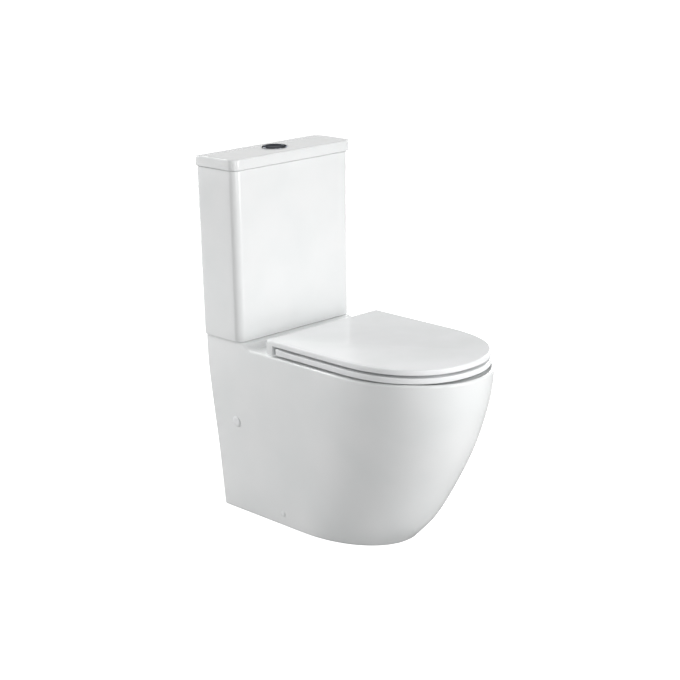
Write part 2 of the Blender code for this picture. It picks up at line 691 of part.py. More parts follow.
def build_cover():
    levels = ((COVER_BOTTOM, 0.0010), (COVER_BOTTOM + 0.001, 0.0), (COVER_TOP - 0.0045, 0.0),
              (COVER_TOP - 0.0015, 0.0012), (COVER_TOP, 0.0045))
    cover = loft("seat_cover", [lift(seat_outline(COVER_BACK, inset), z) for z, inset in levels],
                 seat_plastic)
    strip = ((COVER_BACK + 0.0005, COVER_BOTTOM + 0.004), (COVER_BACK + 0.0005, 0.4300),
             (COVER_BACK + 0.0025, 0.4262), (COVER_BACK + 0.0065, COVER_STRIP_BOTTOM),
             (COVER_STRIP_FRONT - 0.002, COVER_STRIP_BOTTOM), (COVER_STRIP_FRONT, 0.4260),
             (COVER_STRIP_FRONT, COVER_BOTTOM + 0.004))
    for side, name in SIDE_NAMES:
        ends = (side * (HINGE_X + 0.013), side * (SEAT_HALF_WIDTH - 0.0005))
        cheek = loft("cover_cheek_" + name, [[(x, at(d), z) for d, z in strip] for x in ends])
        join(cover, cheek)
        cut(cover, rod("cover_pin_hole_" + name, (side * HINGE_X, at(HINGE_D), HINGE_Z),
                       (side * 0.114, at(HINGE_D), HINGE_Z), PIN_RADIUS + 0.0004, sides=16))
    bumpers = [rod("cover_bumper_" + name, (side * 0.128, at(0.520), SEAT_TOP + GAP),
                   (side * 0.128, at(0.520), COVER_BOTTOM - GAP), 0.006, clear_rubber, sides=14)
               for side, name in SIDE_NAMES]
    return [cover] + bumpers


def build_hinges():
    for side, name in SIDE_NAMES:
        x = side * HINGE_X
        post = box("hinge_post_" + name, (x - 0.010, x + 0.010), (HINGE_D - 0.0065, HINGE_D + 0.0065),
                   (PAN_TOP + GAP, HINGE_Z), chrome)
        join(post, rod("post_barrel_" + name, (x - 0.010, at(HINGE_D), HINGE_Z),
                       (x + 0.010, at(HINGE_D), HINGE_Z), HINGE_BARREL, sides=20),
             rod("post_shank_" + name, (x, at(HINGE_D), PAN_TOP + 0.004),
                 (x, at(HINGE_D), 0.374), 0.004, sides=12))
        cut(post, rod("post_pin_hole_" + name, (x - 0.012, at(HINGE_D), HINGE_Z),
                      (x + 0.012, at(HINGE_D), HINGE_Z), PIN_RADIUS + 0.0004, sides=16))
        rod("hinge_pin_" + name, (side * 0.049, at(HINGE_D), HINGE_Z),
            (side * 0.112, at(HINGE_D), HINGE_Z), PIN_RADIUS, steel, sides=16)
        ring("hinge_nut_" + name, 0.012, 0.0043, DECK_UNDERSIDE - GAP - 0.009,
             DECK_UNDERSIDE - GAP, x, HINGE_D, white_plastic, sides=12)


# ---------------------------------------------------------------- caps and floor fixings
def build_caps():
    for side, name in SIDE_NAMES:
        for label, (d, z, flange, stem), length in (("access_cap_", ACCESS_CAP, 0.010),
                                                    ("screw_cap_", SCREW_CAP, 0.003)):
            point, outward = pan_side_frame(side, d, z)
            cap = rod(label + name, point + outward * 0.0004, point + outward * 0.0014, flange,
                      seat_plastic, end_radius=flange - 0.0006, sides=24)
            join(cap, rod(label + "stem_" + name, point - outward * length,
                          point + outward * 0.0006, stem, sides=16))


def build_floor_fixings():
    screw_d, screw_z, _, hole = SCREW_CAP
    for side, name in SIDE_NAMES:
        outer = BRACKET_OUTER_X
        bracket = box("floor_bracket_" + name, sorted((side * (outer - 0.050), side * outer)),
                      (screw_d - 0.030, screw_d + 0.030), (0.0, 0.005), steel)
        join(bracket, box("bracket_leg_" + name, sorted((side * (outer - 0.005), side * outer)),
                          (screw_d - 0.030, screw_d + 0.030), (0.004, 0.048)))
        point, outward = pan_side_frame(side, screw_d, screw_z)
        tip = point - outward * 0.046
        cut(bracket, rod("bracket_side_hole_" + name, tip, point, 0.0034, sides=12),
            rod("bracket_floor_hole_" + name, (side * (outer - 0.028), at(screw_d), -0.001),
                (side * (outer - 0.028), at(screw_d), 0.010), 0.0048, sides=12))
        screw = rod("side_screw_" + name, tip, point - outward * 0.004, 0.0029, steel, sides=12)
        join(screw, rod("side_screw_head_" + name, point - outward * 0.008,
                        point - outward * 0.0034, hole - 0.0002, sides=12))
        turned("floor_screw_" + name,
               ((0.0, 0.0110), (0.0075, 0.0110), (0.0075, 0.0053), (0.0042, 0.0053),
                (0.0042, 0.0002), (0.0, 0.0002)),
               side * (outer - 0.028), screw_d, steel, closed=False, sides=16)


# ---------------------------------------------------------------- assembly
def build_toilet():
    build_pan()
    build_bowl_and_trapway()
    build_tank()
    build_flush_valve_parts()
    build_tank_bolts()
    build_seat_and_hinges()
    build_caps()
    build_floor_fixings()
    build_lid_parts()


def build_flush_valve_parts():
    overflow, seal = build_flush_valve()
    carry(pivot("flush_valve_lift", 0.0, FLUSH_D, TUBE_TOP), overflow, seal)
    cup, lever = build_fill_valve()
    carry(pivot("fill_float_rise", FILL_X, FLUSH_D, 0.620), cup)
    carry(pivot("fill_lever_tilt", LEVER_PIVOT_X, FLUSH_D + 0.0185, LEVER_Z), lever)


def build_seat_and_hinges():
    build_hinges()
    carry(pivot("seat_hinge", 0.0, HINGE_D, HINGE_Z), *build_seat())
    carry(pivot("cover_hinge", 0.0, HINGE_D, HINGE_Z), *build_cover())


def build_lid_parts():
    lid = build_lid()
    bezel, nut, halves = build_button()
    carry(pivot("lid_lift", 0.0, FLUSH_D, LID_BOTTOM), lid, bezel, nut)
    for label, pieces in zip(("full", "half"), halves):
        carry(pivot(label + "_flush_press", ROD_X[label], FLUSH_D, LID_TOP), *pieces)


build_toilet()
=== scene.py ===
import json
import math

import bmesh
import bpy
from mathutils import Matrix, Vector


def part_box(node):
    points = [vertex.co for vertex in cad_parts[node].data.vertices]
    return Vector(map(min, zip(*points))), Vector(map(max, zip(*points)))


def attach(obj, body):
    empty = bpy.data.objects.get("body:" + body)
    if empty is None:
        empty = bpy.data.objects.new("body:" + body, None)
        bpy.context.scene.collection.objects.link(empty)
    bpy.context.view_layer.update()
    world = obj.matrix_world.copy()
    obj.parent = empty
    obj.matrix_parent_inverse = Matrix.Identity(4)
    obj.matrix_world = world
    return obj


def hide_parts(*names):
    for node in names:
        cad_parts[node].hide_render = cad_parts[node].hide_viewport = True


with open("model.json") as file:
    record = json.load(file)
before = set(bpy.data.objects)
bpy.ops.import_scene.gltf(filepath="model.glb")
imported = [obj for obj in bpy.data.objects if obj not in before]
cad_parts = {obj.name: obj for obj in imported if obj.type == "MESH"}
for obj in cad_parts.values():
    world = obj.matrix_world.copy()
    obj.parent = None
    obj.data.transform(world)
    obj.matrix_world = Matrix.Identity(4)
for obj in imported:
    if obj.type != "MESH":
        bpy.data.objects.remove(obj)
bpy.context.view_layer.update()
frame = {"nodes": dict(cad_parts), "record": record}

mm = 0.001
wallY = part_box("pan")[1][1]       # the wall behind the toilet; everything is placed from it
print("frame loaded, wall at", round(wallY, 4))


# camera, light, floor
viewpoint = {
    "azimuth": -43.74, "elevation": 16.06, "roll": -1.156,     # degrees
    "distance": 3.8375, "lens": 90.63, "film": 36,             # metres, mm, mm
    "aimSide": -25.2, "aimFromWall": 295.4, "aimHeight": 441.3,     # mm
}


# The direction away from the toilet at an azimuth and elevation in degrees.
def outwards(azimuth, elevation):
    azimuth, elevation = math.radians(azimuth), math.radians(elevation)
    return Vector((math.sin(azimuth) * math.cos(elevation),
                   -math.cos(azimuth) * math.cos(elevation), math.sin(elevation)))


def placeCamera():
    azimuth, roll = math.radians(viewpoint["azimuth"]), math.radians(viewpoint["roll"])
    back = outwards(viewpoint["azimuth"], viewpoint["elevation"])
    side = Vector((math.cos(azimuth), math.sin(azimuth), 0))
    up = back.cross(side)
    right = math.cos(roll) * side + math.sin(roll) * up
    up = back.cross(right)
    aim = Vector((viewpoint["aimSide"] * mm, wallY - viewpoint["aimFromWall"] * mm,
                  viewpoint["aimHeight"] * mm))
    camera = bpy.data.objects.new("camera", bpy.data.cameras.new("camera"))
    bpy.context.scene.collection.objects.link(camera)
    place = Matrix((right, up, back)).transposed().to_4x4()
    place.translation = aim + back * viewpoint["distance"]
    camera.matrix_world = place
    camera.data.lens = viewpoint["lens"]
    camera.data.sensor_width = viewpoint["film"]
    bpy.context.scene.camera = camera


softboxes = {
    # tall boxes round the toilet: azimuth seen from it in degrees, watts
    "frontRight": (15, 38), "front": (0, 9), "besideCamera": (-30, 12),
    "farRight": (105, 69), "farLeft": (-158, 57),
}
softboxShape = {"distance": 3.0, "elevation": 12, "width": 0.8, "height": 2.2}      # metres, degrees
rimLamp = {"azimuth": -155, "elevation": 41, "watts": 9, "height": 0.4}      # draws the pan's rim
litPlace = (0, 0.05, 0.45)
room = {"walls": 0.48, "farPanel": 0.72, "backdrop": 1.3}       # glow of the world
farPanel = {"azimuth": 136, "elevation": 2, "core": 10, "edge": 16}    # degrees; the tank's top mirrors it
studioFloor = {"colour": "#B4B4B4", "glow": 1.1, "halfSize": 30, "drop": 0.4}     # metres, mm


def placeLights():
    lamps = {name: {**softboxShape, "azimuth": azimuth, "watts": watts}
             for name, (azimuth, watts) in softboxes.items()}
    lamps["rim"] = {**softboxShape, **rimLamp}
    for name, lampShape in lamps.items():
        away = outwards(lampShape["azimuth"], lampShape["elevation"])
        data = bpy.data.lights.new(name, "AREA")
        data.shape = "RECTANGLE"
        data.size, data.size_y = lampShape["width"], lampShape["height"]
        data.energy = lampShape["watts"]
        lamp = bpy.data.objects.new(name, data)
        lamp.location = Vector(litPlace) + away * lampShape["distance"]
        lamp.rotation_euler = away.to_track_quat("Z", "Y").to_euler()
        bpy.context.scene.collection.objects.link(lamp)


# sRGB hex to the linear colour that the shaders take.
def linear(hexText):
    parts = [int(hexText[i:i + 2], 16) / 255 for i in (1, 3, 5)]
    return [*(p / 12.92 if p <= 0.04045 else ((p + 0.055) / 1.055) ** 2.4 for p in parts), 1]


# One node with its settings; an input takes a value or another node's output.
def addNode(tree, kind, inputs=(), **settings):
    node = tree.nodes.new(kind)
    for name, value in settings.items():
        setattr(node, name, value)
    for key, value in dict(inputs).items():
        if isinstance(value, bpy.types.NodeSocket):
            tree.links.new(value, node.inputs[key])
        else:
            node.inputs[key].default_value = value
    return node


def lightTheRoom():
    world = bpy.data.worlds.new("studio")
    bpy.context.scene.world = world
    world.use_nodes = True
    tree = world.node_tree
    tree.nodes.clear()
    direction = addNode(tree, "ShaderNodeTexCoord").outputs["Generated"]
    panel = outwards(farPanel["azimuth"], farPanel["elevation"])
    towards = addNode(tree, "ShaderNodeVectorMath", {0: direction, 1: panel}, operation="DOT_PRODUCT")
    edge, core = (math.cos(math.radians(farPanel[key])) for key in ("edge", "core"))
    around = addNode(tree, "ShaderNodeMapRange",
                     {"Value": towards.outputs["Value"], "From Min": edge, "From Max": core,
                      "To Min": room["walls"], "To Max": room["farPanel"]})
    path = addNode(tree, "ShaderNodeLightPath")
    strength = addNode(tree, "ShaderNodeMapRange",
                       {"Value": path.outputs["Is Camera Ray"], "To Min": around.outputs["Result"],
                        "To Max": room["backdrop"]})
    glow = addNode(tree, "ShaderNodeBackground",
                   {"Color": linear("#FFFFFF"), "Strength": strength.outputs["Result"]})
    addNode(tree, "ShaderNodeOutputWorld", {"Surface": glow.outputs["Background"]})

    floorMaterial = bpy.data.materials.new("studio floor")
    floorMaterial.use_nodes = True
    tree = floorMaterial.node_tree
    tree.nodes.clear()
    cloth = addNode(tree, "ShaderNodeBsdfDiffuse", {"Color": linear(studioFloor["colour"])})
    path = addNode(tree, "ShaderNodeLightPath")
    strength = addNode(tree, "ShaderNodeMath",
                       {0: path.outputs["Is Camera Ray"], 1: studioFloor["glow"]}, operation="MULTIPLY")
    shine = addNode(tree, "ShaderNodeEmission",
                    {"Color": linear("#FFFFFF"), "Strength": strength.outputs[0]})
    both = addNode(tree, "ShaderNodeAddShader", {0: cloth.outputs[0], 1: shine.outputs[0]})
    addNode(tree, "ShaderNodeOutputMaterial", {"Surface": both.outputs[0]})
    bm = bmesh.new()
    bmesh.ops.create_grid(bm, x_segments=1, y_segments=1, size=studioFloor["halfSize"])
    mesh = bpy.data.meshes.new("floor")
    bm.to_mesh(mesh)
    bm.free()
    floor = bpy.data.objects.new("floor", mesh)
    floor.location.z = -studioFloor["drop"] * mm
    mesh.materials.append(floorMaterial)
    bpy.context.scene.collection.objects.link(floor)
    bpy.context.scene.view_settings.view_transform = "Standard"


placeCamera()
placeLights()
lightTheRoom()
print("camera, lights and floor placed")


# materials
def newMaterial(name):
    material = bpy.data.materials.new(name)
    material.use_nodes = True
    tree = material.node_tree
    shader = tree.nodes["Principled BSDF"]
    place = addNode(tree, "ShaderNodeTexCoord").outputs["Object"]
    return material, tree, shader, place


# Noise scale whose features are about this many millimetres.
def perMetre(sizeMm):
    return 1000 / sizeMm


def setShader(shader, **values):
    for name, value in values.items():
        shader.inputs[name.replace("_", " ")].default_value = value


# Colour and roughness by a texture, between two hex colours and two values.
def tone(tree, shader, factor, dark, light, smooth, rough, low=0.35, high=0.65):
    ramp = addNode(tree, "ShaderNodeValToRGB", {"Fac": factor})
    for element, position, colour in zip(ramp.color_ramp.elements, (low, high), (dark, light)):
        element.position, element.color = position, linear(colour)
    tree.links.new(ramp.outputs["Color"], shader.inputs["Base Color"])
    span = addNode(tree, "ShaderNodeMapRange",
                   {"Value": factor, "From Min": 0.3, "From Max": 0.7, "To Min": smooth, "To Max": rough})
    tree.links.new(span.outputs["Result"], shader.inputs["Roughness"])


def relief(tree, shader, height, depthMm, strength=1.0):
    bump = addNode(tree, "ShaderNodeBump",
                   {"Height": height, "Distance": depthMm * mm, "Strength": strength})
    tree.links.new(bump.outputs["Normal"], shader.inputs["Normal"])


def glazedChina():
    # vitreous china, slip cast and glazed: dense white, a deep wet gloss with a faint ripple
    material, tree, shader, place = newMaterial("glazed vitreous china")
    cloud = addNode(tree, "ShaderNodeTexNoise", {"Vector": place, "Scale": perMetre(160), "Detail": 2})
    ripple = addNode(tree, "ShaderNodeTexNoise", {"Vector": place, "Scale": perMetre(14), "Detail": 1})
    tone(tree, shader, cloud.outputs["Fac"], "#F0F2F2", "#F5F6F6", 0.10, 0.17)
    relief(tree, shader, ripple.outputs["Fac"], 0.05, 0.5)
    setShader(shader, IOR=1.52, Coat_Weight=0.5, Coat_Roughness=0.03, Coat_IOR=1.5)
    return material


def bisqueChina():
    # unglazed inside of the skirt: fired clay, dull, warm, slightly sandy, with thin glaze overspray
    material, tree, shader, place = newMaterial("unglazed fired china")
    blotch = addNode(tree, "ShaderNodeTexNoise", {"Vector": place, "Scale": perMetre(45), "Detail": 5})
    grain = addNode(tree, "ShaderNodeTexNoise", {"Vector": place, "Scale": perMetre(1.6), "Detail": 2})
    tone(tree, shader, blotch.outputs["Fac"], "#D9D4C9", "#ECE8DF", 0.52, 0.75, 0.3, 0.7)
    relief(tree, shader, grain.outputs["Fac"], 0.25, 0.6)
    setShader(shader, IOR=1.5)
    return material


def mouldedDuroplast():
    # urea duroplast seat, hot pressed in a polished mould: hard white gloss with a faint orange peel
    material, tree, shader, place = newMaterial("pressed duroplast")
    cloud = addNode(tree, "ShaderNodeTexNoise", {"Vector": place, "Scale": perMetre(120), "Detail": 2})
    peel = addNode(tree, "ShaderNodeTexNoise", {"Vector": place, "Scale": perMetre(22), "Detail": 0})
    tone(tree, shader, cloud.outputs["Fac"], "#EEF0F0", "#F3F4F5", 0.20, 0.27)
    relief(tree, shader, peel.outputs["Fac"], 0.03, 0.3)
    setShader(shader, IOR=1.55)
    return material


def platedChrome():
    # bright chrome on polished brass: mirror with hair scratches and a little smear from fingers
    material, tree, shader, place = newMaterial("bright chrome plate")
    smear = addNode(tree, "ShaderNodeTexNoise", {"Vector": place, "Scale": perMetre(9), "Detail": 4})
    stretch = addNode(tree, "ShaderNodeMapping", {"Vector": place, "Scale": (1, 14, 1)})
    hair = addNode(tree, "ShaderNodeTexNoise",
                   {"Vector": stretch.outputs["Vector"], "Scale": perMetre(8), "Detail": 3})
    tone(tree, shader, smear.outputs["Fac"], "#5C5E62", "#707276", 0.04, 0.11)
    relief(tree, shader, hair.outputs["Fac"], 0.01, 0.25)
    setShader(shader, Metallic=1.0, Specular_Tint=linear("#8A8C90"))      # keeps it dark at a low angle
    return material


def mouldedPolymer(name, dark, light, low, high):
    # injection moulded polypropylene or ABS: satin, fine spark-eroded skin, faint flow clouds
    material, tree, shader, place = newMaterial(name)
    flow = addNode(tree, "ShaderNodeTexNoise",
                   {"Vector": place, "Scale": perMetre(30), "Detail": 3, "Distortion": 1.2})
    skin = addNode(tree, "ShaderNodeTexNoise", {"Vector": place, "Scale": perMetre(0.9), "Detail": 2})
    tone(tree, shader, flow.outputs["Fac"], dark, light, low, high)
    relief(tree, shader, skin.outputs["Fac"], 0.04, 0.5)
    setShader(shader, IOR=1.49, Subsurface_Weight=0.05, Subsurface_Scale=0.004)
    return material


def mouldedRubber(name, dark, light):
    # compression moulded EPDM or silicone: dull, slightly dusty, grainy to the touch
    material, tree, shader, place = newMaterial(name)
    dust = addNode(tree, "ShaderNodeTexNoise", {"Vector": place, "Scale": perMetre(12), "Detail": 4})
    grain = addNode(tree, "ShaderNodeTexNoise", {"Vector": place, "Scale": perMetre(0.8), "Detail": 2})
    tone(tree, shader, dust.outputs["Fac"], dark, light, 0.62, 0.85)
    relief(tree, shader, grain.outputs["Fac"], 0.08, 0.6)
    setShader(shader, IOR=1.47)
    return material


def brushedStainless():
    # stainless sheet and screws, rolled or turned: long fine lines, soft gloss
    material, tree, shader, place = newMaterial("brushed stainless steel")
    along = addNode(tree, "ShaderNodeMapping", {"Vector": place, "Scale": (30, 1, 30)})
    lines = addNode(tree, "ShaderNodeTexNoise",
                    {"Vector": along.outputs["Vector"], "Scale": perMetre(18), "Detail": 3})
    tone(tree, shader, lines.outputs["Fac"], "#B4B4B0", "#C9C9C6", 0.24, 0.38)
    relief(tree, shader, lines.outputs["Fac"], 0.02, 0.4)
    setShader(shader, Metallic=1.0)
    return material


def turnedBrass():
    # turned brass, a little dulled by damp air
    material, tree, shader, place = newMaterial("turned brass")
    tarnish = addNode(tree, "ShaderNodeTexNoise", {"Vector": place, "Scale": perMetre(10), "Detail": 4})
    lathe = addNode(tree, "ShaderNodeTexWave", {"Vector": place, "Scale": perMetre(2.5), "Distortion": 0.4},
                    bands_direction="Z")
    tone(tree, shader, tarnish.outputs["Fac"], "#B08D4A", "#D2B36C", 0.22, 0.42)
    relief(tree, shader, lathe.outputs["Fac"], 0.02, 0.4)
    setShader(shader, Metallic=1.0)
    return material


finishes = {
    "vitreous_china": glazedChina(),
    "bisque": bisqueChina(),
    "seat_plastic": mouldedDuroplast(),
    "chrome": platedChrome(),
    "valve_plastic": mouldedPolymer("moulded white polypropylene", "#DEDEDA", "#EAEAE6", 0.34, 0.46),
    "float_plastic": mouldedPolymer("moulded blue ABS", "#2F5C9C", "#3A6BB0", 0.30, 0.42),
    "rubber": mouldedRubber("moulded EPDM rubber", "#141414", "#242423"),
    "bumper_rubber": mouldedRubber("moulded clear silicone", "#C9CCCB", "#D9DBDA"),
    "stainless_steel": brushedStainless(),
    "brass": turnedBrass(),
}
print("materials made:", len(finishes))


# making pieces
mergeDistance = 0.000005
sharpAngle, roundAngle = 32, 30      # degrees between faces: shaded sharp, rounded


# A place from millimetres: side is X, fromWall is the distance from the wall.
def at(side, fromWall, height):
    return Vector((side * mm, wallY - fromWall * mm, height * mm))


def startRing(bm, places):
    ring = bmesh.ops.create_circle(bm, segments=len(places), radius=1)["verts"]
    for vert, place in zip(ring, places):
        vert.co = place
    return list(ring)


# Extrudes a ring or a row of verts to the next places and returns the new verts.
def grow(bm, ring, places, closed=True):
    following = ring[1:] + ring[:1] if closed else ring[1:]
    edges = [bm.edges.get((a, b)) for a, b in zip(ring, following)]
    made = bmesh.ops.extrude_edge_only(bm, edges=edges)["geom"]
    fresh = {v for v in made if isinstance(v, bmesh.types.BMVert)}
    nextRing = [next(e.other_vert(v) for e in v.link_edges if e.other_vert(v) in fresh) for v in ring]
    for vert, place in zip(nextRing, places):
        vert.co = place
    return nextRing


def fillRing(bm, ring):
    edges = [bm.edges.get((a, b)) for a, b in zip(ring, ring[1:] + ring[:1])]
    bmesh.ops.contextual_create(bm, geom=edges)


# A closed form through rings of places, filled at both ends.
def loft(bm, rings):
    ring = startRing(bm, rings[0])
    fillRing(bm, ring)
    for places in rings[1:]:
        ring = grow(bm, ring, places)
    fillRing(bm, ring)


# Rounds every sharp edge.
def soften(bm, widthMm, segments=2):
    bm.normal_update()
    sharp = [e for e in bm.edges if e.is_manifold and e.calc_face_angle(0) > math.radians(roundAngle)]
    bmesh.ops.bevel(bm, geom=sharp, offset=widthMm * mm, affect="EDGES", segments=segments,
                    profile=0.5, material=-1, clamp_overlap=True)


def toObject(bm, name, finish):
    bmesh.ops.remove_doubles(bm, verts=bm.verts, dist=mergeDistance)
    bmesh.ops.recalc_face_normals(bm, faces=bm.faces)
    mesh = bpy.data.meshes.new(name)
    bm.to_mesh(mesh)
    bm.free()
    mesh.materials.append(finishes[finish])
    mesh.shade_smooth()
    mesh.set_sharp_from_angle(angle=math.radians(sharpAngle))
    thing = bpy.data.objects.new(name, mesh)
    bpy.context.scene.collection.objects.link(thing)
    return thing


# Puts a finished piece under its body and hides the CAD nodes it stands for.
def settle(thing, body, slot, *nodes):
    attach(thing, body)
    if nodes:
        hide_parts(*nodes)
    return thing


# Boolean operations with other objects, applied, and the tools removed.
def carve(target, operation, tools):
    for tool in tools:
        step = target.modifiers.new(tool.name, "BOOLEAN")
        step.operation = operation
        step.solver = "EXACT"
        step.material_mode = "TRANSFER"
        step.object = tool
    bpy.context.view_layer.update()
    graph = bpy.context.evaluated_depsgraph_get()
    mesh = bpy.data.meshes.new_from_object(target.evaluated_get(graph), depsgraph=graph)
    target.modifiers.clear()
    target.data = mesh
    mesh.name = target.name
    mesh.set_sharp_from_angle(angle=math.radians(sharpAngle))
    for tool in tools:
        bpy.data.objects.remove(tool, do_unlink=True)
    return target


# Turns a profile of (radius, height) in mm about an upright axis.
def spun(name, profile, side, fromWall, finish, closed=True, steps=64, edge=0.0):
    bm = bmesh.new()
    verts = [bm.verts.new((r * mm, 0, z * mm)) for r, z in profile]
    pairs = list(zip(verts, verts[1:])) + ([(verts[-1], verts[0])] if closed else [])
    edges = [bm.edges.new(pair) for pair in pairs]
    bmesh.ops.spin(bm, geom=verts + edges, cent=(0, 0, 0), axis=(0, 0, 1), angle=math.tau,
                   steps=steps, use_merge=True)
    bmesh.ops.remove_doubles(bm, verts=bm.verts, dist=mergeDistance)
    bmesh.ops.recalc_face_normals(bm, faces=bm.faces)
    if edge:
        soften(bm, edge)
    bmesh.ops.translate(bm, vec=at(side, fromWall, 0), verts=bm.verts)
    return toObject(bm, name, finish)


# A rounded block between two sides, two distances from the wall and two heights, mm.
def block(name, sides, fromWall, heights, finish, edge=1.0):
    bm = bmesh.new()
    low = at(min(sides), max(fromWall), min(heights))
    high = at(max(sides), min(fromWall), max(heights))
    bmesh.ops.create_cube(bm, size=1)
    bmesh.ops.scale(bm, vec=high - low, verts=bm.verts)
    bmesh.ops.translate(bm, vec=(low + high) / 2, verts=bm.verts)
    if edge:
        soften(bm, edge, 3)
    return toObject(bm, name, finish)


# A round bar between two places.
def bar(name, start, end, radiusMm, finish, steps=32, edge=0.0):
    bm = bmesh.new()
    run = end - start
    place = Matrix.Translation((start + end) / 2) @ run.to_track_quat("Z", "X").to_matrix().to_4x4()
    bmesh.ops.create_cone(bm, cap_ends=True, segments=steps, radius1=radiusMm * mm,
                          radius2=radiusMm * mm, depth=run.length, matrix=place)
    if edge:
        soften(bm, edge)
    return toObject(bm, name, finish)


# A smooth step from a to b with a slope at each end.
def hermite(t, a, slopeA, b, slopeB):
    return ((2 * t**3 - 3 * t**2 + 1) * a + (t**3 - 2 * t**2 + t) * slopeA
            + (3 * t**2 - 2 * t**3) * b + (t**3 - t**2) * slopeB)


# Values at a height, on a smooth curve through the stations.
def throughStations(stations, height):
    last = len(stations) - 1
    height = min(max(height, stations[0][0]), stations[-1][0])
    i = max(k for k in range(last) if stations[k][0] <= height)
    span = stations[i + 1][0] - stations[i][0]
    t = (height - stations[i][0]) / span
    values = []
    for column in range(1, len(stations[0])):
        slopes = []
        for k in (i, i + 1):
            low, high = stations[max(k - 1, 0)], stations[min(k + 1, last)]
            slopes.append((high[column] - low[column]) / (high[0] - low[0]) * span)
        values.append(hermite(t, stations[i][column], slopes[0], stations[i + 1][column], slopes[1]))
    return values


def ease(t):
    t = min(max(t, 0), 1)
    return t * t * (3 - 2 * t)


# Distance from an oval's middle to its edge in a direction.
def ovalReach(angle, halfWidth, halfLength, roundness):
    return ((abs(math.cos(angle)) / halfWidth) ** roundness
            + (abs(math.sin(angle)) / halfLength) ** roundness) ** (-1 / roundness)


# Sine and one minus cosine, step by step through a quarter turn.
def quarterTurn(steps, first=0):
    turns = [math.radians(90 * i / steps) for i in range(first, steps + 1)]
    return [(math.sin(turn), 1 - math.cos(turn)) for turn in turns]


# Height above the bottom and inset, from the bottom's edge up round a small radius.
def footRound(radius):
    turns = [math.radians(a) for a in (90, 67, 45, 22, 0)]
    return [(radius * (1 - math.sin(turn)), radius * (1 - math.cos(turn))) for turn in turns]


# pan
pan = {
    # height, half width, nose from the wall, end of the straight side, mm
    "skirt": ((0, 130.5, 473, 267), (60, 136.5, 532, 289), (150, 145.5, 591, 322),
              (250, 158, 642, 357), (350, 169.5, 674, 391), (420, 173.5, 684, 417)),
    "noseRoundness": (2.07, 2.21), "rearNarrowing": 6,
    "deck": 420, "ledgeRise": 12, "ledgeFront": 145, "ledgeRun": 11,
    "ledgeTurn": 138, "ledgeReturn": 24, "ledgeSideRun": 22,      # its front curves back at the sides
    "noseLift": 5, "noseLiftFrom": 475, "noseLiftRun": 150,       # the rim comes up under the seat's nose
    "noseLiftShare": 0.3, "riseFrom": 388,
    "rimRadius": 6, "backRadius": 3, "footRadius": 4, "wall": 12, "underside": 396,
    # height, middle from the wall, half width, half length, mm
    "bowl": ((112, 388, 30, 36), (130, 395, 46, 55), (170, 415, 66, 85), (220, 440, 92, 120),
             (280, 458, 112, 148), (340, 466, 120, 160), (400, 470, 121, 165), (420, 470, 122, 168)),
    "bowlRoundness": 2.2, "bowlLip": 9, "bowlFloor": ((5, 1.6), (12, 3.2), (20, 4.0)),     # inset, drop
    "bowlShell": {"bottom": 100, "top": 405, "bottomShare": 0.2},
    "hollowHeights": (-2, 10, 40, 75, 110, 150, 190, 230, 270, 310, 350, 375),
    "hollowTop": ((-8, 0), (-2.3, 2.3), (0, 8)),      # height from the underside, inset
    # from the wall, height, mm
    "trap": ((392, 132), (345, 126), (290, 150), (255, 200), (215, 245), (175, 226), (140, 192),
             (105, 180), (60, 180)),
    "trapBore": 26, "trapOutside": 37,
    "spigot": {"outside": 51, "bore": 40, "end": 30, "root": 104, "boreRoot": 88, "height": 180},
    "inletBox": {"sides": (-62, 62), "fromWall": (4, 128), "heights": (352, 402), "edge": 8},
    "inletChannel": {"sides": (-30, 30), "fromWall": (110, 330), "heights": (354, 401), "edge": 10},
    "inletBore": {"start": 66, "end": 330, "height": 378, "radius": 16},
    # the deck's rows, from the wall to where rings take over, then counts
    "rows": (12, 30, 50, 70, 90, 104, 112, 118, 122, 126, 129, 132, 135, 138, 141, 143, 145, 147, 149,
             151, 153, 155, 158, 161, 165, 172, 182, 200, 220, 242, 264, 285),
    "columns": 44, "noseSteps": 120, "sideRings": 44, "rimSteps": 7, "lipSteps": 6, "bowlRings": 32,
    "deckShares": (0.06, 0.16, 0.3, 0.45, 0.6, 0.75, 0.88, 1.0),
    "shellRings": 20, "shellSteps": 72, "trapSteps": 10, "tubeSteps": 32, "pipeSteps": 64,
}


def skirtHalfWidth(height, fromWall, inset=0.0):
    halfWidth, nose, straight = throughStations(pan["skirt"], height)
    share = min(max(height / pan["deck"], 0), 1)
    if fromWall <= straight:
        return halfWidth - inset - pan["rearNarrowing"] * share * (1 - fromWall / straight) ** 2
    low, high = pan["noseRoundness"]
    roundness = low + (high - low) * share
    reach = (fromWall - straight) / (nose - inset - straight)
    return (halfWidth - inset) * max(1 - reach ** roundness, 0) ** (1 / roundness) if reach < 1 else 0


# Distance from the middle of the grid's end to the skirt, in a direction, by halving.
def skirtReach(height, angle, inset=0.0):
    low, high = 0.0, 600.0
    nose = throughStations(pan["skirt"], height)[1] - inset
    for _ in range(40):
        reach = (low + high) / 2
        fromWall = pan["rows"][-1] + reach * math.sin(angle)
        inside = reach * math.cos(angle) < skirtHalfWidth(height, fromWall, inset)
        low, high = (reach, high) if inside and fromWall < nose else (low, reach)
    return low


# The ledge under the tank: full height to a front edge that curves back at the sides, then a cove.
def deckRise(side, fromWall):
    turn = ease((abs(side) - pan["ledgeTurn"]) / (pan["skirt"][-1][1] - pan["ledgeTurn"]))
    front = pan["ledgeFront"] - pan["ledgeReturn"] * turn
    run = pan["ledgeRun"] + pan["ledgeSideRun"] * turn
    return pan["ledgeRise"] * (1 - ease((fromWall - front) / run))


def noseRise(fromWall):
    return pan["noseLift"] * ease((fromWall - pan["noseLiftFrom"]) / pan["noseLiftRun"])


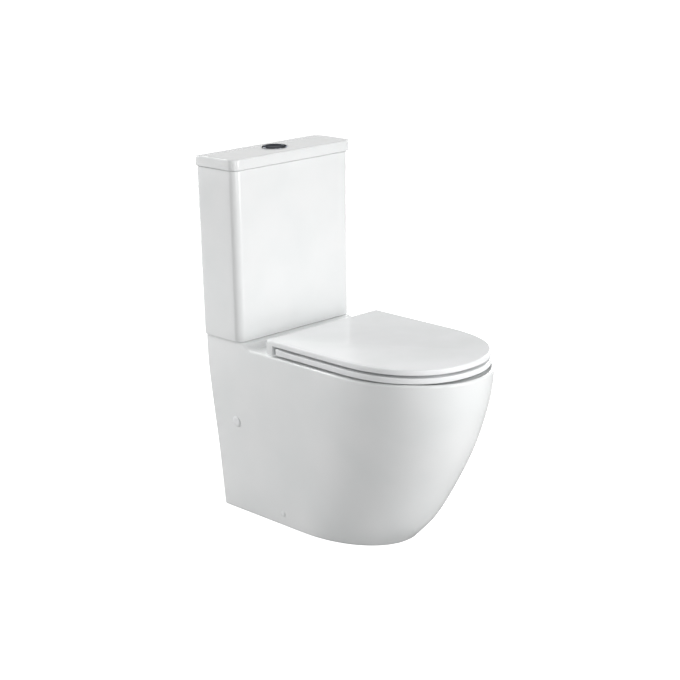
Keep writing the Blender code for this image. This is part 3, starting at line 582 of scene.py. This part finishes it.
# Right side from the wall, nose, left side back to the wall, then along the wall.
def skirtRing(height, inset=0.0, backInset=0.0, riseShare=0.0):
    distances, steps, columns = [backInset, *pan["rows"][:-1]], pan["noseSteps"], pan["columns"]
    right = [(skirtHalfWidth(height, d, inset), d) for d in distances]
    front = []
    for i in range(steps + 1):
        angle = math.pi * i / steps
        reach = skirtReach(height, min(angle, math.pi - angle), inset)
        front.append((reach * math.cos(angle), pan["rows"][-1] + reach * math.sin(angle)))
    left = [(-x, d) for x, d in right[::-1]]
    corner = left[-1][0]
    back = [(corner * (1 - 2 * i / columns), backInset) for i in range(1, columns)]
    return [at(x, d, height + (deckRise(x, d) + noseRise(d)) * riseShare)
            for x, d in right + front + left + back]


# The outside, from the floor to the rounded rim; returns the rim's inner ring.
def skirtBody(bm):
    foot, rim, back, riseFrom = (pan[key] for key in ("footRadius", "rimRadius", "backRadius", "riseFrom"))
    levels = [(height, inset, 0, 0) for height, inset in footRound(foot)]
    top, start, count = pan["deck"] - rim, foot + 3, pan["sideRings"]
    for i in range(count + 1):
        height = start + (top - start) * i / count
        levels.append((height, 0, 0, ease((height - riseFrom) / (top - riseFrom))))
    levels += [(top + rim * rise, rim * inset, back * inset, 1)
               for rise, inset in quarterTurn(pan["rimSteps"], 1)]
    ring = startRing(bm, skirtRing(*levels[0]))
    fillRing(bm, ring)
    for level in levels[1:]:
        ring = grow(bm, ring, skirtRing(*level))
    return ring


# The ledge and the deck as a grid from the wall; returns the open edge round what is left of the deck.
def deckGrid(bm, ring):
    rows, columns, deck = pan["rows"], pan["columns"], pan["deck"]
    row = ring[len(rows) * 2 + pan["noseSteps"]:] + ring[:1]
    for d in rows:
        halfWidth = skirtHalfWidth(deck, d, pan["rimRadius"])
        across = [halfWidth * (2 * i / columns - 1) for i in range(columns + 1)]
        row = grow(bm, row, [at(x, d, deck + deckRise(x, d)) for x in across], closed=False)
    bmesh.ops.remove_doubles(bm, verts=bm.verts, dist=mergeDistance)
    return orderLoop([v for v in bm.verts if v.is_boundary])


# Boundary verts in order round the bowl.
def orderLoop(loop):
    ordered = [max(loop, key=lambda v: v.co.x)]
    seen = set(ordered)
    while True:
        step = [e.other_vert(ordered[-1]) for e in ordered[-1].link_edges if e.is_boundary]
        step = [v for v in step if v not in seen]
        if not step:
            return ordered
        ordered.append(step[0])
        seen.add(step[0])


# Rings of the bowl at a height, in given directions from its middle.
def bowlPlaces(angles, height, extra=0.0, level=None):
    centre, halfWidth, halfLength = throughStations(pan["bowl"], height)
    places = []
    for angle in angles:
        reach = ovalReach(angle, halfWidth, halfLength, pan["bowlRoundness"]) + extra
        places.append(at(reach * math.cos(angle), centre + reach * math.sin(angle),
                         height if level is None else level))
    return places


# From the open edge over the deck, round the lip and down the bowl.
def bowlInside(bm, loop):
    middle = throughStations(pan["bowl"], pan["deck"])[0]
    angles = [math.atan2((wallY - v.co.y) / mm - middle, v.co.x / mm) for v in loop]
    outside = [v.co.copy() for v in loop]
    lip, deck, bottom, rings = pan["bowlLip"], pan["deck"], pan["bowl"][0][0], pan["bowlRings"]
    edge = bowlPlaces(angles, deck, lip)
    for t in pan["deckShares"]:
        places = [a.lerp(b, t) for a, b in zip(outside, edge)]
        for place, a in zip(places, outside):
            place.z = deck * mm + (a.z - deck * mm) * (1 - ease(t / pan["noseLiftShare"]))
        loop = grow(bm, loop, places)
    for fall, drop in quarterTurn(pan["lipSteps"], 1):
        loop = grow(bm, loop, bowlPlaces(angles, deck, lip * (1 - fall), deck - lip * drop))
    for i in range(1, rings + 1):
        loop = grow(bm, loop, bowlPlaces(angles, deck - lip - (deck - lip - bottom) * i / rings))
    for inset, drop in pan["bowlFloor"]:
        loop = grow(bm, loop, bowlPlaces(angles, bottom, -inset, bottom - drop))
    fillRing(bm, loop)


# What is hollow inside the skirt, open at the floor and at the wall.
def skirtSpace():
    wall, top = pan["wall"], pan["underside"]
    levels = [(height, wall) for height in pan["hollowHeights"]]
    levels += [(top + rise, wall + inset) for rise, inset in pan["hollowTop"]]
    rings = [skirtRing(height, inset) for height, inset in levels]
    for place in (place for ring in rings for place in ring):
        if place.y > wallY - 1 * mm:
            place.y = wallY + 2 * mm
    bm = bmesh.new()
    loft(bm, rings)
    return toObject(bm, "skirtSpace", "bisque")


# The bowl as a solid, its wall's faces moved outwards by extra.
def bowlShape(name, extra, finish):
    shell, rings, steps = pan["bowlShell"], pan["shellRings"], pan["shellSteps"]
    bottom, angles = pan["bowl"][0][0], [math.tau * i / steps for i in range(steps)]
    places = [bowlPlaces(angles, shell["bottom"], extra * shell["bottomShare"])]
    places += [bowlPlaces(angles, bottom + (shell["top"] - bottom) * i / rings, extra)
               for i in range(rings + 1)]
    bm = bmesh.new()
    loft(bm, places)
    return toObject(bm, name, finish)


# Smooth points along the trapway's middle.
def trapPath():
    route = [Vector((0, d, z)) for d, z in pan["trap"]]
    steps, points = pan["trapSteps"], []
    for i in range(len(route) - 1):
        a, b = route[i], route[i + 1]
        slopeA, slopeB = (b - route[max(i - 1, 0)]) / 2, (route[min(i + 2, len(route) - 1)] - a) / 2
        points += [hermite(k / steps, a, slopeA, b, slopeB) for k in range(steps)]
    return points + [route[-1]]


def trapTube(name, radius, finish):
    points, steps, rings = trapPath(), pan["tubeSteps"], []
    for i, point in enumerate(points):
        ahead = points[min(i + 1, len(points) - 1)] - points[max(i - 1, 0)]
        ahead.normalize()
        across = Vector((0, -ahead.z, ahead.y))
        places = []
        for angle in (math.tau * k / steps for k in range(steps)):
            spot = point + Vector((radius * math.cos(angle), 0, 0)) + across * radius * math.sin(angle)
            places.append(at(spot.x, spot.y, spot.z))
        rings.append(places)
    bm = bmesh.new()
    loft(bm, rings)
    return toObject(bm, name, finish)


# Level pipe square to the wall.
def levelPipe(name, start, end, height, radius, finish, steps, edge=0.0):
    return bar(name, at(0, start, height), at(0, end, height), radius, finish, steps, edge)


def makePan():
    bm = bmesh.new()
    bowlInside(bm, deckGrid(bm, skirtBody(bm)))
    body = toObject(bm, "panGlazed", "vitreous_china")
    print("pan skin:", len(body.data.polygons))
    hollow = carve(skirtSpace(), "DIFFERENCE", [bowlShape("bowlOutside", pan["wall"], "bisque")])
    carve(body, "DIFFERENCE", [hollow])
    spigot, feed, steps = pan["spigot"], pan["inletBore"], pan["pipeSteps"]
    pipe = levelPipe("spigot", spigot["root"], spigot["end"], spigot["height"], spigot["outside"],
                     "bisque", steps, 2)
    inlet = block("inletBox", finish="bisque", **pan["inletBox"])
    channel = block("inletChannel", finish="bisque", **pan["inletChannel"])
    trap = trapTube("trapOutside", pan["trapOutside"], "bisque")
    for piece in (trap, channel):
        carve(piece, "DIFFERENCE", [bowlShape("bowlInside", pan["wall"] / 2, "bisque")])
    carve(body, "UNION", [trap, pipe, inlet, channel])
    outlet = levelPipe("spigotBore", spigot["boreRoot"], spigot["end"] - 5, spigot["height"],
                       spigot["bore"], "bisque", steps)
    inflow = levelPipe("inletBore", feed["start"], feed["end"], feed["height"], feed["radius"],
                       "vitreous_china", pan["tubeSteps"])
    carve(body, "DIFFERENCE", [trapTube("trapBore", pan["trapBore"], "vitreous_china"), outlet, inflow])
    settle(body, "root", "vitreous_china", "pan", "pan_bowl", "pan_trapway")
    print("pan finished:", len(body.data.polygons))


makePan()


# tank and lid
tank = {
    "bottom": 432.6, "top": 824.6, "halfWidth": (174.5, 178.5), "front": (125.5, 130),
    "frontCorner": 20, "backCorner": 6, "innerCorner": 3, "wall": 10, "floor": 9.9,
    "bottomRadius": 1.4, "rimRadius": 3, "outerRings": 12, "innerRings": 6,
    "floorRound": ((8, 0), (3, 1.5), (0.8, 4.5), (0, 9)),      # height above the floor, inset
}
lid = {
    "bottom": 826, "top": 850, "halfWidth": 183, "front": 134, "frontCorner": 20, "backCorner": 6,
    "innerCorner": 5, "edgeRadius": 2.6, "edgeSteps": 5, "skirt": 12, "plate": 10,
    "fall": 3.2, "fallStart": 20, "fallPower": 1.6,      # the top falls towards the wall, behind the button
    "buttonHole": 25.5, "buttonFromWall": 66,
    "topShares": (0.02, 0.08, 0.2, 0.32, 0.45, 0.6, 0.75, 0.88, 1.0), "underShares": (0.3, 0.6, 0.9, 1.0),
}


# A rounded rectangle in plan, the same count of points for every size.
def boxRing(halfWidth, back, front, backCorner, frontCorner, height, cornerSteps=10, sideSteps=8):
    corners = ((1, front, frontCorner, 0), (-1, front, frontCorner, 1),
               (-1, back, backCorner, 2), (1, back, backCorner, 3))
    arcs = []
    for sign, edge, radius, quarter in corners:
        centreX = sign * (halfWidth - radius)
        centreD = edge - radius if edge == front else edge + radius
        arcs.append([(centreX + radius * math.cos((quarter + i / cornerSteps) * math.pi / 2),
                      centreD + radius * math.sin((quarter + i / cornerSteps) * math.pi / 2))
                     for i in range(cornerSteps + 1)])
    outline = []
    for i, arc in enumerate(arcs):
        outline += arc
        a, b = Vector(arc[-1]), Vector(arcs[(i + 1) % 4][0])
        outline += [tuple(a.lerp(b, k / sideSteps)) for k in range(1, sideSteps)]
    return [at(x, d, height) for x, d in outline]


# The tank grows a little wider and deeper towards its top.
def tankRing(height, inset=0.0):
    share = (height - tank["bottom"]) / (tank["top"] - tank["bottom"])
    halfWidth, front = (low + (high - low) * share for low, high in (tank["halfWidth"], tank["front"]))
    backInset = inset if inset > tank["wall"] / 2 else inset * 0.5
    return boxRing(halfWidth - inset, backInset, front - inset,
                   max(tank["backCorner"] - inset, tank["innerCorner"]),
                   tank["frontCorner"] - inset * 0.8, height)


def makeTank():
    bottom, top, wall, rim = (tank[key] for key in ("bottom", "top", "wall", "rimRadius"))
    floor, outer, inner = bottom + tank["floor"], tank["outerRings"], tank["innerRings"]
    levels = [(bottom + height, inset) for height, inset in footRound(tank["bottomRadius"])]
    levels += [(bottom + (top - bottom) * i / outer, 0) for i in range(1, outer)]
    for turn in (math.radians(a) for a in range(0, 181, 30)):
        levels.append((top - rim + rim * math.sin(turn), wall / 2 - (wall / 2) * math.cos(turn)))
    levels += [(bottom + (top - bottom) * i / inner, wall) for i in range(inner - 1, 0, -1)]
    levels += [(floor + height, wall + inset) for height, inset in tank["floorRound"]]
    bm = bmesh.new()
    loft(bm, [tankRing(*level) for level in levels])
    settle(toObject(bm, "tankGlazed", "vitreous_china"), "root", "vitreous_china", "tank")


def makeLid():
    bottom, top, edge, skirt = lid["bottom"], lid["top"], lid["edgeRadius"], lid["skirt"]
    hole, centre = lid["buttonHole"], lid["buttonFromWall"]
    under = top - lid["plate"]

    def lidRing(inset, backInset, height):
        return boxRing(lid["halfWidth"] - inset, backInset, lid["front"] - inset, lid["backCorner"],
                       max(lid["frontCorner"] - inset * 0.6, lid["innerCorner"]), height)

    def holeRing(radius, height):
        return [at(radius * math.cos(a), centre + radius * math.sin(a), height) for a in angles]

    angles = [math.atan2((wallY - p.y) / mm - centre, p.x / mm) for p in lidRing(edge, edge, top)]
    bm = bmesh.new()
    ring = first = startRing(bm, lidRing(1.0, 0.5, bottom))
    for inset, height in ((0.3, bottom + 0.3), (0, bottom + 1.0), (0, (bottom + top) / 2)):
        ring = grow(bm, ring, lidRing(inset, inset, height))
    for rise, inset in quarterTurn(lid["edgeSteps"]):
        ring = grow(bm, ring, lidRing(edge * inset, edge * inset, top - edge + edge * rise))
    flat = [v.co.copy() for v in ring]
    rim = holeRing(hole + 1.0, top)
    for t in lid["topShares"]:
        ring = grow(bm, ring, [a.lerp(b, t) for a, b in zip(flat, rim)])
    for extra, height in ((0.3, top - 0.3), (0, top - 1), (0, under + 1), (1, under)):
        ring = grow(bm, ring, holeRing(hole + extra, height))
    inner = [v.co.copy() for v in ring]
    edgeUnder = lidRing(skirt + 3, skirt + 1, under)
    for t in lid["underShares"]:
        ring = grow(bm, ring, [a.lerp(b, t) for a, b in zip(inner, edgeUnder)])
    for extra, height in ((0.8, under - 0.9), (0, under - 3), (0, bottom + 1), (-1, bottom)):
        ring = grow(bm, ring, lidRing(skirt + extra, skirt + extra - 2, height))
    grow(bm, ring, [v.co.copy() for v in first])
    run = centre - lid["fallStart"]
    for vert in bm.verts:
        if vert.co.z > (top - edge - 1) * mm:
            fromWall = (wallY - vert.co.y) / mm
            vert.co.z -= lid["fall"] * mm * (max(run - fromWall, 0) / run) ** lid["fallPower"]
    settle(toObject(bm, "lidGlazed", "vitreous_china"), "lid", "vitreous_china", "tank_lid")


makeTank()
makeLid()
print("tank and lid made")


# seat and cover
seat = {
    "halfWidth": 173, "back": 240.6, "straight": 451.5, "nose": 665.5, "roundness": 2.22, "corner": 5,
    "bottom": 426, "top": 442, "edgeRadius": 2.0, "lowerRadius": 2.0,
    # the outer margin is thinner than the rest
    "edgeDrop": 2.6, "edgeLift": 0.8, "margin": 30, "marginRun": 8, "marginStart": 4, "marginStartRun": 30,
    "holeMiddle": 462, "holeHalfWidth": 110, "holeHalfLength": 148, "holeRoundness": 2.2,
    "lipRun": 8, "lipDrop": 1.2, "lipDepth": 7, "lowerLip": ((0, 2), (0.6, 0.6), (2, 0)),
    "topShares": (0.08, 0.25, 0.36, 0.44, 0.5, 0.56, 0.64, 0.75, 0.92, 1.0),
}
cover = {
    "back": 213, "bottom": 445.5, "top": 458, "edgeRadius": 4.0, "lowerRadius": 1.6, "shoulder": 2,
    # the cheeks wrap down beside the hinges
    "cheekFront": 232, "cheekBottom": 424, "cheekInner": 91, "cheekInset": 0.02, "cheekTop": 6,
    "cheekEdge": 1.2, "cheekCorner": ((0.3, 6), (2.5, 2.2), (6.5, 0)),    # from its back, above its bottom
}
hinge = {
    "fromWall": 226, "height": 437, "side": 78, "barrel": 7.5,
    "pin": {"radius": 4.5, "inner": 49, "outer": 112},
    "post": {"halfWidth": 10, "halfDepth": 6.5, "foot": 0.3},
    "lug": {"inner": 48, "gap": 12, "reach": 12, "below": 6, "above": 4.5},
    "shank": {"radius": 4, "top": 3, "bottom": 374},
    "nut": ((12, 395.6), (12, 386.8), (4.3, 386.8), (4.3, 395.6)),      # radius, height
}


# The seat's D in plan, moved inwards evenly.
def seatRingPlaces(back, inset, height, steps=96, rearSteps=30, sideSteps=16, cornerSteps=5):
    halfWidth, nose, straight = seat["halfWidth"] - inset, seat["nose"] - inset, seat["straight"]
    roundness, start = seat["roundness"], back + inset
    corner = max(seat["corner"] - inset, 2)
    outline = []
    for i in range(cornerSteps):
        turn = math.radians(90 * i / cornerSteps)
        outline.append((halfWidth - corner + corner * math.sin(turn),
                        start + corner - corner * math.cos(turn)))
    for i in range(sideSteps):
        outline.append((halfWidth, start + corner + (straight - start - corner) * i / sideSteps))
    side = outline[::-1]
    for i in range(steps + 1):
        angle = math.pi * i / steps
        c, s = math.cos(angle), math.sin(angle)
        outline.append((halfWidth * math.copysign(abs(c) ** (2 / roundness), c),
                        straight + (nose - straight) * max(s, 0) ** (2 / roundness)))
    outline += [(-x, d) for x, d in side]
    last = outline[-1][0]
    outline += [(last * (1 - 2 * i / rearSteps), start) for i in range(1, rearSteps)]
    return [at(x, d, height) for x, d in outline]


# Draws the seat's faces together along its outer margin, so that a deep even gap shows.
def thinMargin(bm, bottom, top):
    length = seat["nose"] - seat["straight"]
    for vert in bm.verts:
        side, fromWall = abs(vert.co.x) / mm, (wallY - vert.co.y) / mm
        reach = max(fromWall - seat["straight"], 0) / length
        edge = seat["halfWidth"] * max(1 - reach ** seat["roundness"], 0) ** (1 / seat["roundness"])
        room = min(edge - side, (1 - reach) * length)
        behind = ease((fromWall - seat["back"] - seat["marginStart"]) / seat["marginStartRun"])
        share = (1 - ease((room - seat["margin"]) / seat["marginRun"] + 1)) * behind
        level = (vert.co.z / mm - bottom) / (top - bottom)
        vert.co.z -= (seat["edgeDrop"] * level - seat["edgeLift"] * (1 - level)) * share * mm


def makeSeatRing():
    bottom, top, edge, low = seat["bottom"], seat["top"], seat["edgeRadius"], seat["lowerRadius"]
    run, drop, depth = seat["lipRun"], seat["lipDrop"], seat["lipDepth"]
    bm = bmesh.new()
    ring = first = startRing(bm, seatRingPlaces(seat["back"], low, bottom))
    for out, rise in quarterTurn(3, 1):
        ring = grow(bm, ring, seatRingPlaces(seat["back"], low * (1 - out), bottom + low * rise))
    for rise, inset in quarterTurn(8):
        ring = grow(bm, ring, seatRingPlaces(seat["back"], edge * inset, top - edge + edge * rise))
    outside = [v.co.copy() for v in ring]
    middle = seat["holeMiddle"]
    angles = [math.atan2((wallY - p.y) / mm - middle, p.x / mm) for p in outside]

    def holePlaces(extra, height):
        places = []
        for angle in angles:
            reach = extra + ovalReach(angle, seat["holeHalfWidth"], seat["holeHalfLength"],
                                      seat["holeRoundness"])
            places.append(at(reach * math.cos(angle), middle + reach * math.sin(angle), height))
        return places

    inside = holePlaces(run, top - drop)
    for t in seat["topShares"]:
        ring = grow(bm, ring, [a.lerp(b, t) for a, b in zip(outside, inside)])
    for fall, deeper in quarterTurn(5, 1):
        ring = grow(bm, ring, holePlaces(run - run * fall, top - drop - depth * deeper))
    for extra, height in seat["lowerLip"]:
        ring = grow(bm, ring, holePlaces(extra, bottom + height))
    below, start = ([v.co.copy() for v in verts] for verts in (ring, first))
    for t in (0.5, 1.0):
        ring = grow(bm, ring, [a.lerp(b, t) for a, b in zip(below, start)])
    thinMargin(bm, bottom, top)
    body = toObject(bm, "seatRing", "seat_plastic")

    lugs, lug, fromWall, height = [], hinge["lug"], hinge["fromWall"], hinge["height"]
    for sign in (-1, 1):
        inner, outer = lug["inner"] * sign, (hinge["side"] - lug["gap"]) * sign
        lugs.append(block("lug", (inner, outer), (fromWall, seat["back"] + lug["reach"]),
                          (height - lug["below"], height + lug["above"]), "seat_plastic", 1))
        lugs.append(bar("barrel", at(inner, fromWall, height), at(outer, fromWall, height),
                        hinge["barrel"], "seat_plastic", 40, edge=0.6))
    carve(body, "UNION", lugs)
    settle(body, "seat", "seat_plastic", "seat_ring")


def makeCheek(sign):
    back, front, deep = cover["back"], cover["cheekFront"], cover["cheekBottom"]
    top = cover["top"] - cover["cheekTop"]
    outline = [(back + cover["cheekCorner"][0][0], top)]
    outline += [(back + d, deep + z) for d, z in cover["cheekCorner"]] + [(front, deep), (front, top)]
    inner, outer = cover["cheekInner"] * sign, (seat["halfWidth"] - cover["cheekInset"]) * sign
    bm = bmesh.new()
    loft(bm, [[at(side, d, z) for d, z in outline] for side in (inner, outer)])
    bmesh.ops.recalc_face_normals(bm, faces=bm.faces)
    outlineEdges = [e for e in bm.edges if e.is_manifold and e.calc_face_angle(0) > 0.5
                    and max(v.co.z for v in e.verts) < (top - 0.5) * mm]
    bmesh.ops.bevel(bm, geom=outlineEdges, offset=cover["cheekEdge"] * mm, affect="EDGES", segments=3,
                    profile=0.5, material=-1)
    return toObject(bm, "cheek", "seat_plastic")


def makeCover():
    back, bottom, top, edge, low, shoulder = (cover[key] for key in (
        "back", "bottom", "top", "edgeRadius", "lowerRadius", "shoulder"))
    rings = [seatRingPlaces(back, shoulder, bottom)]
    rings += [seatRingPlaces(back, shoulder * (1 - out), bottom + low * rise)
              for out, rise in quarterTurn(6, 1)]
    rings += [seatRingPlaces(back, edge * inset, top - edge + edge * rise)
              for rise, inset in quarterTurn(8)]
    bm = bmesh.new()
    loft(bm, rings)
    body = toObject(bm, "seatCover", "seat_plastic")
    carve(body, "UNION", [makeCheek(-1), makeCheek(1)])
    settle(body, "cover", "seat_plastic", "seat_cover")


makeSeatRing()
makeCover()
print("seat and cover made")


# hinges, buffers, caps
def makeHinges():
    fromWall, height, deck = hinge["fromWall"], hinge["height"], pan["deck"]
    postShape, shank, pinShape = hinge["post"], hinge["shank"], hinge["pin"]
    half, deep = postShape["halfWidth"], postShape["halfDepth"]
    for sign, name in ((-1, "left"), (1, "right")):
        side = hinge["side"] * sign
        post = block("hingePost_" + name, (side - half, side + half), (fromWall - deep, fromWall + deep),
                     (deck + postShape["foot"], height), "chrome", 1.0)
        barrel = bar("postBarrel", at(side - half, fromWall, height), at(side + half, fromWall, height),
                     hinge["barrel"], "chrome", 48, edge=0.7)
        stud = bar("postShank", at(side, fromWall, deck + shank["top"]),
                   at(side, fromWall, shank["bottom"]), shank["radius"], "chrome", 24, edge=0.5)
        carve(post, "UNION", [barrel, stud])
        settle(post, "root", "chrome", "hinge_post_" + name)
        pin = bar("hingePin_" + name, at(pinShape["inner"] * sign, fromWall, height),
                  at(pinShape["outer"] * sign, fromWall, height), pinShape["radius"],
                  "stainless_steel", 32, edge=0.8)
        settle(pin, "root", "stainless_steel", "hinge_pin_" + name)
        nut = spun("hingeNut_" + name, hinge["nut"], side, fromWall, "valve_plastic", steps=6, edge=0.8)
        settle(nut, "root", "valve_plastic", "hinge_nut_" + name)


def makeBuffers():
    for node in ("seat_bumper_front_left", "seat_bumper_front_right", "seat_bumper_rear_left",
                 "seat_bumper_rear_right", "cover_bumper_left", "cover_bumper_right"):
        low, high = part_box(node)
        side, fromWall = (low[0] + high[0]) / 2 / mm, (wallY - (low[1] + high[1]) / 2) / mm
        radius, bottom, top = (high[0] - low[0]) / 2 / mm, low[2] / mm, high[2] / mm
        pad = spun(node.replace("_", "").replace("bumper", "Buffer_"),
                   ((0, top), (radius, top), (radius - 0.6, bottom), (0, bottom)),
                   side, fromWall, "bumper_rubber", closed=False, steps=32, edge=0.6)
        settle(pad, node.split("_")[0], "bumper_rubber", node)


caps = {
    "access_cap": {"fromWall": 79, "height": 231, "flange": 13, "stem": 10.5, "length": 10},
    "screw_cap": {"fromWall": 208, "height": 31, "flange": 7.2, "stem": 4.2, "length": 3},
}


def makeCaps():
    step = 2      # mm to either side, for the skirt's slope
    for label, cap in caps.items():
        fromWall, height, flange, stem = (cap[key] for key in ("fromWall", "height", "flange", "stem"))
        rise = skirtHalfWidth(height + step, fromWall) - skirtHalfWidth(height - step, fromWall)
        run = skirtHalfWidth(height, fromWall + step) - skirtHalfWidth(height, fromWall - step)
        profile = [(0, 1.6), (flange * 0.55, 1.5), (flange - 1.2, 1.2), (flange - 0.2, 0.7),
                   (flange, 0.2), (flange - 0.4, 0.0), (stem, 0.0), (stem, -cap["length"]),
                   (0, -cap["length"])]
        for sign, name in ((-1, "left"), (1, "right")):
            outward = Vector((sign, run / (2 * step), -rise / (2 * step))).normalized()
            point = at(sign * skirtHalfWidth(height, fromWall), fromWall, height)
            thing = spun(label.replace("_c", "C") + "_" + name, profile, 0, wallY / mm,
                         "seat_plastic", closed=False, steps=64)
            turn = outward.to_track_quat("Z", "Y").to_matrix().to_4x4()
            thing.data.transform(Matrix.Translation(point + outward * 0.2 * mm) @ turn)
            settle(thing, "root", "seat_plastic", f"{label}_{name}")


makeHinges()
makeBuffers()
makeCaps()
print("hinges, buffers and caps made")


# flush button
button = {
    "fromWall": 66, "top": 852.5, "bottom": 844, "split": 4.0, "gap": 0.3, "reach": 30, "steps": 96,
    "barrel": 24.6, "bore": 23.2, "flange": 29, "flangeEdge": (26.6, 2.4, 2.2), "lift": 0.1,
    "mouth": (24.9, 1.7, 1.6),      # radius, inward and downward round of the bezel's inner edge
    # radius and depth below the top, from the middle out
    "dish": ((0, 0.9), (8, 0.8), (16, 0.55), (20.6, 0.35), (21.6, 0.4), (22.4, 0.8), (22.8, 1.7)),
    "nut": ((33, 839.7), (33, 831.7), (24.9, 831.7), (24.9, 839.7)), "cutHeights": (835, 860),
}


def makeBezel():
    top, surface, foot, lift = button["top"], lid["top"], lid["bottom"], button["lift"]
    barrel, bore = button["barrel"], button["bore"]
    profile = [(barrel, foot), (barrel, surface + lift), (button["flange"], surface + lift)]
    middle, width, height = button["flangeEdge"]
    for turn in (math.radians(a) for a in range(0, 91, 15)):
        profile.append((middle + width * math.cos(turn), surface + 0.3 + height * math.sin(turn)))
    radius, inward, down = button["mouth"]
    profile += [(radius - inward * fall, top - down * drop) for fall, drop in quarterTurn(5)]
    profile.append((bore, foot))
    bezel = spun("buttonBezel", profile[::-1], 0, button["fromWall"], "chrome", steps=button["steps"])
    settle(bezel, "lid", "chrome", "flush_button_bezel")


def makeButton():
    top, bottom, fromWall, reach = (button[key] for key in ("top", "bottom", "fromWall", "reach"))
    edge = button["dish"][-1][0]
    profile = [(radius, top - drop) for radius, drop in button["dish"]] + [(edge, bottom), (0, bottom)]
    for label, near, far in (("full", -reach, button["split"] - button["gap"]),
                             ("half", button["split"] + button["gap"], reach)):
        disc = spun(label + "FlushButton", profile, 0, fromWall, "chrome", closed=False,
                    steps=button["steps"])
        keep = block("keep", (near, far), (fromWall - reach, fromWall + reach), button["cutHeights"],
                     "chrome", 0)
        carve(disc, "INTERSECT", [keep])
        settle(disc, label + "_button", "chrome", label + "_flush_button")
    nut = spun("buttonNut", button["nut"], 0, fromWall, "valve_plastic", steps=64, edge=0.8)
    settle(nut, "lid", "valve_plastic", "flush_button_nut")


makeBezel()
makeButton()
print("button made")


# CAD pieces that keep their shape
def finishTheRest():
    slots = {row["node"]: row["material_slot"] for row in frame["record"]["subparts"]}
    for node, thing in frame["nodes"].items():
        thing.data.materials.clear()
        thing.data.materials.append(finishes[slots[node]])


finishTheRest()
